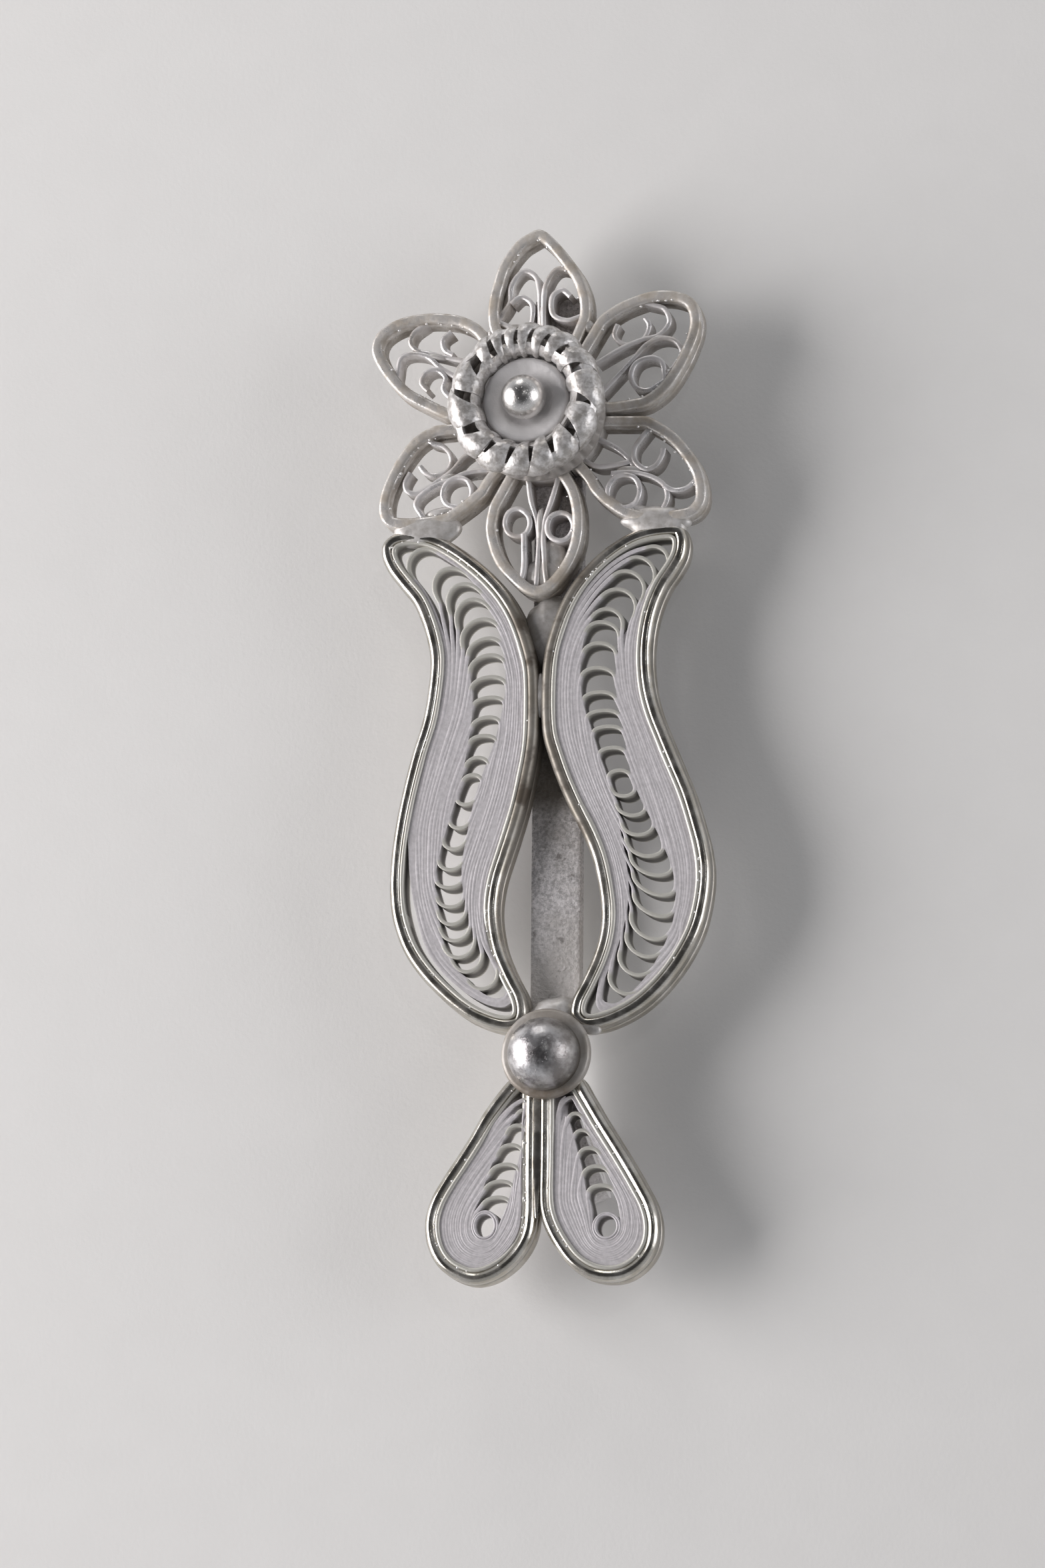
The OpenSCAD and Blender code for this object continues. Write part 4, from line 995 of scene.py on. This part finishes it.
def petal(name, seed, first, last, edge, wires):
    """One petal. It keeps to the angles from first to last, as seen from the hub."""
    middle = math.radians((first + last) / 2)
    reach = math.radians((last - first) / 2 - 0.5)
    off = curve(edge, closed=True) - hub
    r = np.hypot(*off.T)
    angle = (np.arctan2(off[:, 1], off[:, 0]) - middle + math.pi) % (2 * math.pi) - math.pi
    outline = polar(hub, r, angle.clip(-reach, reach) + middle)
    outside = r > root_out - 0.25
    start = [i for i in range(len(r)) if outside[i] and not outside[i - 1]][0]
    line = soften(spaced(outline[(start + np.arange(outside.sum())) % len(r)]), 2)
    wall = Build()
    swell = drift(len(line), 9, 0.02, seed)
    rails = []
    for inward, below in petal_section:
        sink = below + 0.02 + (swell if below < 0.3 else 0)
        rails.append(at_height(line + left_of(line, False) * inward, front - sink))
    wall.skin(rails, closed=False, tone=0)
    for k, wire in enumerate(wires):
        closed = wire[0] == wire[-1]
        scroll = curve(wire[:-1] if closed else wire, 0.1, closed)
        if not closed:
            scroll = to_frame(to_frame(scroll, line)[::-1], line)[::-1]
        scroll = scroll[away(scroll, hub) > root_out - 0.35]
        width = scroll_w + drift(len(scroll), 8, 0.03, seed + k)
        top = front - scroll_deep + scroll_rise * k + drift(len(scroll), 9, 0.03, seed + 5 * k)
        back = fill_back + back_step * (k + 1)
        ribbon(wall, scroll, width, top, back, closed, 0.8 + 0.05 * k, edge=0.06)
    arc = np.linspace(middle - reach, middle + reach, 24)
    wall.skin([at_height(polar(hub, r, arc), z) for r, z in root_section], closed=False)
    wall.piece(name + "_dressed", petal_silver, name)


for row in petals:
    petal(*row)


# Crown: a plain seat, a ribbon wound into a ring of sixteen loose turns, and a pressed cup with a
# rolled lip that holds a polished ball. Solder joins them.
crown_bottom = 6.25
ring_r = 3.55
coil_turns = 16
coil_steps = 40
coil_half = 1.06
coil_high = 1.06
coil_r = ring_r - 0.1
coil_z = crown_bottom + 1.15
ribbon_thick = 0.13
turn_gap = 0.16
widest_turn = 0.86
cup_wall = 0.4
ball_r = 1.25


def lathe(build, centre, profile, steps=96):
    """A turned form from rows of [radius, height]"""
    rails = [at_height(polar(centre, max(r, 1e-4), full_turn(steps)), z) for r, z in profile]
    build.skin(rails, shut=False)


def half_round(radius, base, count=24):
    """Profile of a half ball from its rim to its top"""
    turns = np.linspace(0, math.pi / 2, count)
    return [[radius * math.cos(t), base + radius * math.sin(t)] for t in turns]


matte_silver = Finish("matte_silver", Metallic=0.15)
matte_cloud = matte_silver.noise(0.9, 4, 0.6)
matte_grain = matte_silver.noise(0.1, 3)
# Painted shade: the seat's side wall darkens and browns below the coil
matte_low_shade = matte_silver.along(2, 6.3, 5.2)
matte_silver.wear(
    Base_Color=matte_silver.mix(
        matte_cloud, (0.66, 0.645, 0.64), (0.82, 0.805, 0.81), (matte_low_shade * 0.75, (0.24, 0.21, 0.18))),
    Roughness=0.38 + 0.25 * matte_cloud)
matte_silver.relief((matte_grain, 0.012), (matte_silver.noise(0.7, 2), 0.05))

seat = Build()
turn = full_turn(640)
rib = (0.5 - 0.5 * np.cos(coil_turns * 2 * (turn - 0.1))) ** 1.5
# radius, height, depth of the ribs
seat_profile = [
    [0.001, 4.51, 0], [3.8, 4.51, 0.22], [3.88, 4.55, 0], [3.9, 4.75, 0], [3.86, 4.95, 0.22],
    [3.62, 6.05, 0.22], [3.5, 6.19, 0], [0.001, 6.19, 0]
]
seat.skin([at_height(polar(hub, r - deep * rib, turn), z) for r, z, deep in seat_profile], shut=False)
seat.piece("crown_seat_dressed", matte_silver, "crown_seat", slot="matte_plate")

coil_silver = Finish("coil_silver", Metallic=0.55)
coil_cloud = coil_silver.noise(0.45, 4, 0.65)
# Painted shade: the coil darkens towards its underside, over the seat
coil_low_shade = coil_silver.along(2, 7.9, 6.6)
coil_silver.wear(
    Base_Color=coil_silver.mix(
        coil_cloud.between(0.35, 0.65), (0.47, 0.445, 0.42), (0.82, 0.80, 0.79),
        (coil_low_shade * 0.5, (0.25, 0.22, 0.19))),
    Roughness=0.22 + 0.3 * coil_cloud)
coil_silver.relief((coil_silver.noise(0.22, 3), 0.02), (coil_silver.noise(0.7, 2), 0.07))

# angle of each turn's crest, reach outwards, lean
coil_rows = [
    [7, 1.00, 0.05], [36, 0.96, -0.1], [56, 0.98, 0.12], [73, 0.93, -0.08], [88, 1.00, 0.15],
    [101, 0.90, -0.1], [113, 0.97, 0.15], [129, 1.00, -0.2], [158, 0.97, 0.1], [191, 1.00, -0.06],
    [223, 0.97, 0.08], [246, 1.00, -0.05], [267, 0.96, 0.06], [287, 1.00, -0.06], [309, 0.97, 0.1],
    [337, 1.00, -0.08]
]
# shares of half the ribbon's width and of half its thickness
ribbon_section = [
    [-1, -0.6], [-0.96, -1], [-0.5, -1], [0, -1], [0.5, -1], [0.96, -1], [1, -0.6], [1, 0.6],
    [0.96, 1], [0.5, 1], [0, 1], [-0.5, 1], [-0.96, 1], [-1, 0.6]
]
coil = Build()
step = np.arange(coil_turns * coil_steps)
turn = 2 * math.pi * step / coil_steps
lap = (step / coil_steps - 0.25) % coil_turns
crests = np.radians([row[0] for row in coil_rows])
ahead = (np.roll(crests, -1) - crests) % (2 * math.pi)
pitch = np.minimum(ahead, np.roll(ahead, 1))
halves = np.minimum(pitch * ring_r / 2 - turn_gap / 2, widest_turn)
columns = np.column_stack([crests, halves, np.array(coil_rows)[:, 1:]])
columns = np.vstack([columns, columns[:1]])
columns[-1, 0] += 2 * math.pi
crest, half, reach, leaning = [
    np.interp(lap, range(coil_turns + 1), column) for column in columns.T]
rails = []
for a, b in ribbon_section:
    across = a * half * (0.93 + 0.27 * np.cos(turn))
    droop = (0.07 + 0.09 * np.cos(turn).clip(0, 1)) * a * a
    out = b * ribbon_thick / 2 + across * leaning - droop
    room_for = ribbon_thick / 2 + abs(half * leaning)
    r = coil_r + (coil_half * reach - room_for + out) * np.cos(turn)
    z = coil_z + (coil_high - room_for + out) * np.sin(turn)
    rails.append(at_height(polar(hub, r, crest + 0.03 * np.sin(turn) + across / ring_r), z))
coil.skin(rails)
# Solder ran between the turns, inside and outside of their crests. Rows: first and last angle
# within a turn, depth, seed.
webs = [[-60, 62, 0.3, 4], [120, 215, 0.16, 9]]
turn = full_turn(240)
for first, last, deep, seed in webs:
    rails = []
    edge_drift = drift(len(turn), 7, 9, seed, closed=True)
    # share of the way from first to last, depth
    web_section = [
        [0, deep + 0.14], [0, deep], [0.25, deep], [0.5, deep], [0.75, 0.18], [1, 0.18], [1, 0.32]
    ]
    for share, sink in web_section:
        loose = share if first < 0 else 1 - share
        phase = np.radians(first + (last - first) * share + edge_drift * loose)
        r = coil_r + (coil_half - sink) * np.cos(phase)
        rails.append(at_height(polar(hub, r, turn), coil_z + (coil_high - sink) * np.sin(phase)))
    coil.skin(rails)
coil.piece("crown_coil_dressed", coil_silver, "crown_coil")

cup = Build()
# radius, height above the crown's bottom
cup_profile = [
    [0, 0], [2.42, 0], [2.47, 0.05], [2.49, 0.7], [2.48, 0.98], [2.44, 1.13], [2.36, 1.22],
    [2.25, 1.25], [2.1, 1.22], [1.9, 1.13], [1.7, 1.04], [1.5, 0.93], [1.38, 0.8], [1.25, 0.64],
    [1.0, 0.51], [0.5, 0.41], [0, cup_wall]
]
lathe(cup, hub, [[r, crown_bottom + z] for r, z in cup_profile])
cup.piece("centre_cup_dressed", matte_silver, "centre_cup", slot="matte_plate")

ball_z = crown_bottom + cup_wall + 0.05 + ball_r
ball = Build()
upper_half = half_round(ball_r, 0)
lower_half = [[r, -z] for r, z in upper_half[::-1]]
lathe(ball, hub, [[r, ball_z + z] for r, z in lower_half + upper_half[1:]])
polished = Finish("polished_silver", Metallic=1.0)
polish_scuff = polished.noise(0.12, 4, 0.7)
polish_cloud = polished.noise(0.6, 3)
polish_specks = polished.noise(0.13, 2).between(0.66, 0.74)
polished.wear(
    Base_Color=polished.mix(polish_specks, (0.80, 0.78, 0.76), (0.93, 0.92, 0.91)),
    Roughness=0.16 + 0.14 * polish_cloud + 0.3 * polish_specks)
polished.relief((polish_scuff, 0.01), (polish_specks, 0.02), (polished.noise(0.5, 2), 0.02))
ball.piece("centre_ball_dressed", polished, "centre_ball", slot="polished")


# Dome: a half ball with a matte collar round it, where the leaves' lower ends meet the tails. The
# collar is a turned disc, flooded with solder on the strip above it.
collar_at = np.array([0.56, -17.45])
dome_at = np.array([0.6, -17.58])
dome_r = 2.0
dome_base = 5.45
collar = Build()
collar_profile = [
    [0, 4.51], [2.42, 4.51], [2.48, 4.56], [2.5, 4.7], [2.5, 4.88], [2.46, 5.0], [2.36, 5.08],
    [2.25, 5.1], [0, 5.1]
]
lathe(collar, collar_at, collar_profile)
collar_silver = Finish("collar_silver", Metallic=0.3)
collar_cloud = collar_silver.noise(0.7, 4, 0.6)
collar_tarnish = collar_silver.noise(1.6, 4, 0.6).between(0.45, 0.62)
# Painted shade: the collar darkens towards its lower side, laid on with its tarnish
collar_low_shade = collar_silver.along(1, -18.4, -19.9) * 0.6
collar_silver.wear(
    Base_Color=collar_silver.mix(
        collar_cloud, (0.33, 0.305, 0.275), (0.58, 0.55, 0.52),
        (collar_tarnish * 0.35 + collar_low_shade, (0.20, 0.16, 0.12))),
    Roughness=0.3 + 0.3 * collar_cloud)
collar_silver.relief((collar_silver.noise(0.15, 3), 0.006), (collar_silver.noise(0.9, 2), 0.05))
collar.piece("dome_collar_dressed", collar_silver, "dome_collar", slot="matte_plate")
dome = Build()
dome_foot = [[0, 5.16], [1.93, 5.16], [dome_r, 5.22]]
lathe(dome, dome_at, dome_foot + half_round(dome_r, dome_base, 32))
scratched = Finish("scratched_silver", Metallic=1.0)
scratch = scratched.noise(0.11, 5, 0.75)
scratch_cloud = scratched.noise(0.8, 4, 0.6)
scratch_specks = scratched.noise(0.16, 2).between(0.64, 0.72)
# Painted shade: darker and duller towards the right and brown at its foot, so the left stays bright
dome_painted_shade = scratched.along(0, 0.1, 2.2) * 0.5 + scratched.along(2, 6.0, 5.3) * 0.5
scratched.wear(
    Base_Color=scratched.mix(
        scratch_cloud.between(0.35, 0.65), (0.36, 0.345, 0.35), (0.84, 0.83, 0.84),
        (dome_painted_shade, (0.20, 0.18, 0.16))),
    Roughness=0.2 + 0.16 * scratch_cloud + 0.2 * scratch_specks + 0.15 * dome_painted_shade)
scratched.relief((scratch, 0.008), (scratch_specks, 0.006), (scratched.noise(0.9, 3), 0.04))
dome.piece("dome_dressed", scratched, "dome", slot="polished")


# Solder: white floods where the frames meet, and grains that ran beside them.
solder = Finish("solder", Metallic=0.4)
solder_cloud = solder.noise(0.5, 4, 0.6)
solder.wear(
    Base_Color=solder.mix(solder_cloud.between(0.3, 0.7), (0.52, 0.495, 0.465), (0.70, 0.68, 0.665)),
    Roughness=0.28 + 0.28 * solder_cloud)
solder.relief((solder.noise(0.25, 3), 0.008), (solder.noise(0.8, 2), 0.03))

# share of the way to the edge, share of the thickness
flood_profile = [
    [0.001, -0.4], [1, -0.4], [1, 0], [0.96, 0.3], [0.87, 0.56], [0.72, 0.78], [0.5, 0.93],
    [0.25, 0.99], [0.001, 1]
]


def flood(build, x, y, long, wide, turn, base, high, seed):
    """A flat run of solder with an uneven edge"""
    angle = full_turn(60)
    uneven = 1 + drift(60, 5, 0.1, seed, closed=True)
    c, s = math.cos(math.radians(turn)), math.sin(math.radians(turn))
    rails = []
    for share, rise in flood_profile:
        u = long * share * uneven * np.cos(angle)
        v = wide * share * uneven * np.sin(angle)
        plan = np.stack([x + u * c - v * s, y + u * s + v * c], 1)
        rails.append(at_height(plan, base + high * rise))
    build.skin(rails, shut=False)


# For each piece, rows of x, y, half length, half width, turn, base height, thickness, seed
floods = {
    "backing_strip": [
        [0.05, 6.7, 1.35, 2.3, 0, 2.75, 1.0, 20], [0.72, -15.2, 1.75, 1.3, 2, 2.95, 1.4, 21]],
    "leaf_left": [[-0.9, -15.6, 0.6, 0.5, 20, 4.2, 0.22, 17]],
    "leaf_right": [
        [2.6, -15.9, 0.9, 0.42, -15, 4.2, 0.22, 18], [-0.1, 3.0, 0.26, 1.3, 0, 4.0, 0.26, 19]],
    "petal_bottom": [
        [-0.2, 12.6, 0.24, 1.2, 0, 3.9, 0.34, 14], [-0.05, 9.9, 1.15, 1.1, 0, 3.55, 0.55, 15],
        [0.35, 11.0, 0.85, 1.15, 12, 3.5, 0.5, 16]],
    "petal_lower_left": [
        [-6.7, 12.76, 1.95, 0.9, 2, 4.02, 0.46, 0], [-7.6, 12.66, 0.95, 0.65, 0, 4.02, 0.44, 1],
        [-5.9, 13.75, 1.0, 0.36, 5, 3.9, 0.36, 2], [-5.6, 15.75, 0.55, 0.26, 25, 3.9, 0.36, 3]],
    "petal_lower_right": [
        [6.4, 12.5, 1.85, 0.9, -4, 4.02, 0.46, 4], [7.15, 12.35, 1.05, 0.65, -8, 4.02, 0.44, 5],
        [5.2, 13.2, 1.3, 0.45, -14, 3.9, 0.4, 6], [4.9, 15.6, 0.8, 0.26, 0, 3.9, 0.36, 7]],
    "petal_top": [
        [-3.0, 24.0, 0.4, 0.34, 60, 4.05, 0.36, 11], [2.5, 24.1, 0.42, 0.36, 120, 4.05, 0.36, 12],
        [-0.18, 24.7, 0.22, 1.1, 0, 3.9, 0.34, 13]],
    "petal_upper_left": [[-6.3, 22.9, 0.7, 0.22, -10, 3.9, 0.36, 10]],
    "petal_upper_right": [
        [4.6, 19.25, 1.2, 0.36, 4, 4.05, 0.38, 8], [6.4, 23.1, 0.6, 0.24, 15, 3.9, 0.36, 9]],
}
for name, runs in floods.items():
    drops = Build()
    for run in runs:
        flood(drops, *run)
    drops.piece(name + "_solder", solder)

# Grains keep clear of the crown and of the dome by these distances from their middles
crown_clear = 4.3
dome_clear = 2.4
# outline, side of it (0 for both), lowest y, highest y, grains, seed
grain_runs = [
    [leaf_left_edge, 0, -30, 30, 34, 1], [leaf_right_edge, 0, -30, 30, 34, 2],
    [tail_left_edge, 0, -30, 30, 20, 3], [tail_right_edge, 0, -30, 30, 20, 4],
    [petal_top_edge, 0, -30, 30, 22, 5], [petal_upper_right_edge, 0, -30, 30, 22, 6],
    [petal_lower_right_edge, 0, -30, 30, 22, 7], [petal_bottom_edge, 0, -30, 30, 22, 8],
    [petal_lower_left_edge, 0, -30, 30, 22, 9], [petal_upper_left_edge, 0, -30, 30, 22, 10],
    [leaf_left_edge, 1, -14, -8, 34, 11], [leaf_left_edge, -1, 5, 11.5, 26, 12],
    [leaf_left_edge, -1, -13, -8, 22, 13], [leaf_right_edge, -1, 8, 12, 20, 14],
    [leaf_right_edge, 1, -9, -6.5, 14, 15], [tail_left_edge, 1, -27, -22, 16, 16],
    [tail_left_edge, -1, -28, -24, 16, 17], [petal_upper_left_edge, 0, -30, 30, 18, 18],
    [petal_upper_right_edge, 1, 19, 24, 18, 19], [petal_lower_right_edge, 1, 14, 19, 18, 20],
    [petal_top_edge, 1, 25, 30, 14, 21], [petal_lower_left_edge, -1, 15, 19, 16, 22],
]
# radius, height of a grain of size 1
grain_profile = [[math.cos(t), math.sin(t)] for t in np.linspace(-1.57, 1.57, 6)]
grain_z = front - 0.14
grains = Build()
for edge, side, lowest, highest, count, seed in grain_runs:
    chance = np.random.RandomState(seed)
    line = inset(curve(edge, 0.2, closed=True), 0.6)
    beside = (line[:, 0] - line[:, 0].mean()) * side >= 0
    line = line[beside & (line[:, 1] > lowest) & (line[:, 1] < highest)]
    for pick in chance.randint(0, len(line), count):
        spot = line[pick] + chance.uniform(-0.14, 0.14, 2)
        if away(spot, hub) < crown_clear or away(spot, dome_at) < dome_clear:
            continue
        size = chance.uniform(0.04, 0.095)
        lathe(grains, spot, [[size * r, grain_z + size * z] for r, z in grain_profile], 9)
grain_silver = Finish("grain_silver", Metallic=0.7)
grain_silver.wear(
    Base_Color=grain_silver.mix(grain_silver.noise(0.4, 2), (0.86, 0.84, 0.82), (0.95, 0.94, 0.93)),
    Roughness=0.2 + 0.2 * grain_silver.noise(0.3, 2))
grains.piece("solder_grains", grain_silver)
